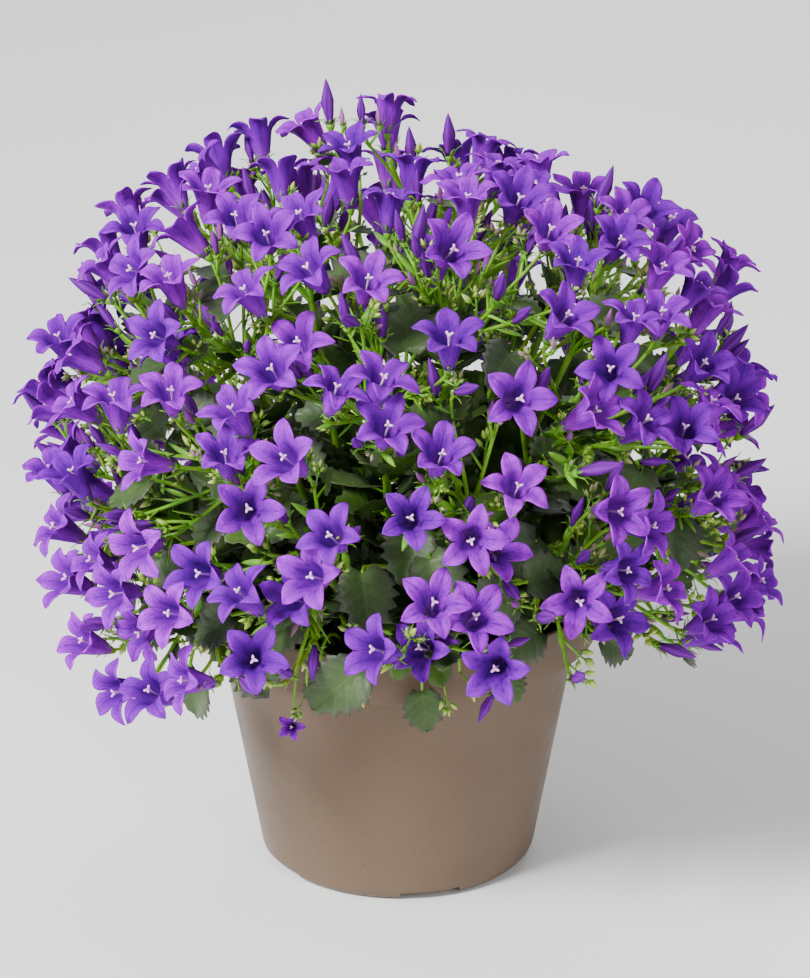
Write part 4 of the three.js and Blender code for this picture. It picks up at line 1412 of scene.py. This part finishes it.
def spindle(base, axis, length, girth, sides):
    # a small closed bud
    x = axis.orthogonal().normalized()
    y = axis.cross(x)
    verts, coords = [base * mm], [(1.0, 0.0)]
    rows = ((0.15, 0.75), (0.45, 1.0), (0.78, 0.55))
    for t, share in rows:
        for k in range(sides):
            a = k * math.tau / sides
            around = (x * math.cos(a) + y * math.sin(a)) * girth * share
            verts.append((base + axis * length * t + around) * mm)
            coords.append((1.0, t))
    tip = len(verts)
    verts.append((base + axis * length) * mm)
    coords.append((1.0, 1.0))
    last = tip - sides
    faces = [[0, 1 + (k + 1) % sides, 1 + k] for k in range(sides)] + ladder(len(rows), sides, 1)
    faces += [[last + k, last + (k + 1) % sides, tip] for k in range(sides)]
    return verts, faces, coords


def leaflet(base, axis, face, length, width):
    # a narrow closed leaflet
    side = axis.cross(face).normalized()
    waist = base + axis * length * 0.4
    tip = base + axis * length + face * length * 0.18
    spots = (base, waist + side * width, waist + face * 0.25, waist - side * width, waist - face * 0.15, tip)
    faces = [[0, 2, 1], [0, 3, 2], [0, 4, 3], [0, 1, 4], [5, 1, 2], [5, 2, 3], [5, 3, 4], [5, 4, 1]]
    return [p * mm for p in spots], faces, [leafletCoord] * len(spots)


def sprig(index):
    c = sprigShape
    rng = random.Random(300 + index)
    bend = Vector((rng.uniform(-1.5, 1.5), rng.uniform(-1.5, 1.5), 0))

    def twigAt(t):
        return up * (c["length"] * t) + bend * t * t

    parts = [rod([(twigAt(t), lerp(0.42, 0.28, t)) for t in (0, 0.35, 0.7, 1)], 4, twigCoord)]
    for k in range(c["buds"]):
        root = twigAt(lerp(1.0, 0.45, k / c["buds"]))
        a = k * 2.4 + rng.uniform(-0.4, 0.4)
        way = (up + polar(1, a) * (0.15 if k == 0 else rng.uniform(0.5, 0.9))).normalized()
        neck = root + way * (0.4 if k == 0 else rng.uniform(1.2, 2.4))
        size = rng.uniform(0.75, 1.25)
        parts.append(rod([(root, 0.26), (neck, 0.3)], 3, twigCoord))
        parts.append(spindle(neck, way, c["budLength"] * size, c["budGirth"] * size, 4))
        for turn in (0.9, -1.1):
            leafWay = (way * 0.8 + polar(1, a + turn) * 0.75).normalized()
            length = rng.uniform(*c["leaflet"])
            parts.append(leaflet(neck - way * 0.3, leafWay, squareTo(leafWay, way), length, c["leafletWidth"]))
    return facingOut(joined(f"sprig{index}", parts))


def growSprigs():
    c = sprigShape
    rng = random.Random(c["seed"])
    whole = c["length"] + c["past"]  # a sprig with its top bud
    points = []

    def grow(stalk, lowest, limit, sizes):
        # limit is how far from the middle of the dome its tip may come
        root, ahead = alongPath(stalk, rng.uniform(lowest, 0.9) * (len(stalk) - 1))
        size = rng.uniform(*sizes)
        side = sideways(rng, ahead, -0.6, 1.2)
        axis = (ahead * rng.uniform(0.6, 1.1) + side * 0.6 + up * 0.15).normalized()
        past = (root + axis * whole * size * mm - middle).length - limit
        if past > 0:
            size = max(c["smallest"], size - past / mm / whole)
        if offThePot(root, axis, whole * size, 2):
            points.append(point(root, axis, side, size, rng.randrange(c["variants"]), rng.random()))

    for head in headsOf(sprays):
        limit = (head["calyx"] + head["axis"] * 10 * mm - middle).length
        for _ in range(c["tries"]):
            if rng.random() < c["perStalk"] / c["tries"]:
                grow(head["stalk"], 0.35, limit, c["sizes"])
    for head in headsOf(shoots):
        grow(head["stalk"], 0.3, fillShape["reach"], c["leafySizes"])
    return points


sprigPoints = growSprigs()
sprigShapes = shapeSet("sprigs", sprigShape["variants"], sprig)
place(scatter("sprigs", sprigPoints + rimPoints["sprig"], sprigShapes, sprigFinish), "buds")
print(f"{len(sprigPoints)} sprigs made")


# camera, floor and light: lengths in m, angles in degrees, lamps as (place, power, size)

cameraSpot = {"lens": 135.6, "sensor": 36, "where": (0.0023, -1.10, 0.555), "pitch": 21.35}
lamps = {
    "key": ((-1.15, -1.05, 1.35), 88, 0.6),
    "fill": ((1.0, -1.6, 0.9), 12, 1.0),
    "back": ((0.4, 1.4, 1.3), 16, 1.0),
}
stageLook = {"floorHalf": 6, "floor": [(0.3, (244, 244, 244)), (0.7, (250, 250, 250))], "world": 0.42}


def makeCamera():
    data = bpy.data.cameras.new("camera")
    data.lens = cameraSpot["lens"]
    data.sensor_width = cameraSpot["sensor"]
    data.clip_start = 0.05
    data.clip_end = 50
    camera = newObject("camera", data)
    camera.location = cameraSpot["where"]
    camera.rotation_euler = (math.radians(90 - cameraSpot["pitch"]), 0, 0)
    bpy.context.scene.camera = camera


def makeStage():
    half = stageLook["floorHalf"]
    corners = [(-half, -half, 0), (half, -half, 0), (half, half, 0), (-half, half, 0)]
    floor = newObject("floor", meshFrom("floor", corners, [[0, 1, 2, 3]]))
    mat, tree, shader = material("floor", 0.9)
    feed(tree, shader.inputs["Base Color"], rampOf(tree, noiseOf(tree, 2, 2), stageLook["floor"]))
    floor.data.materials.append(mat)


def makeLamp(name, where, power, size):
    data = bpy.data.lights.new(name, "AREA")
    data.energy = power
    data.shape = "DISK"
    data.size = size
    lamp = newObject(name, data)
    lamp.location = where
    lamp.rotation_mode = "QUATERNION"
    lamp.rotation_quaternion = (up * 0.12 - Vector(where)).to_track_quat("-Z", "Y")


def makeWorld():
    world = bpy.data.worlds.new("studio")
    bpy.context.scene.world = world
    world.use_nodes = True
    background = world.node_tree.nodes["Background"]
    background.inputs["Color"].default_value = (1, 1, 1, 1)
    background.inputs["Strength"].default_value = stageLook["world"]


makeCamera()
makeStage()
for name, values in lamps.items():
    makeLamp(name, *values)
makeWorld()
print("camera, floor and light made")
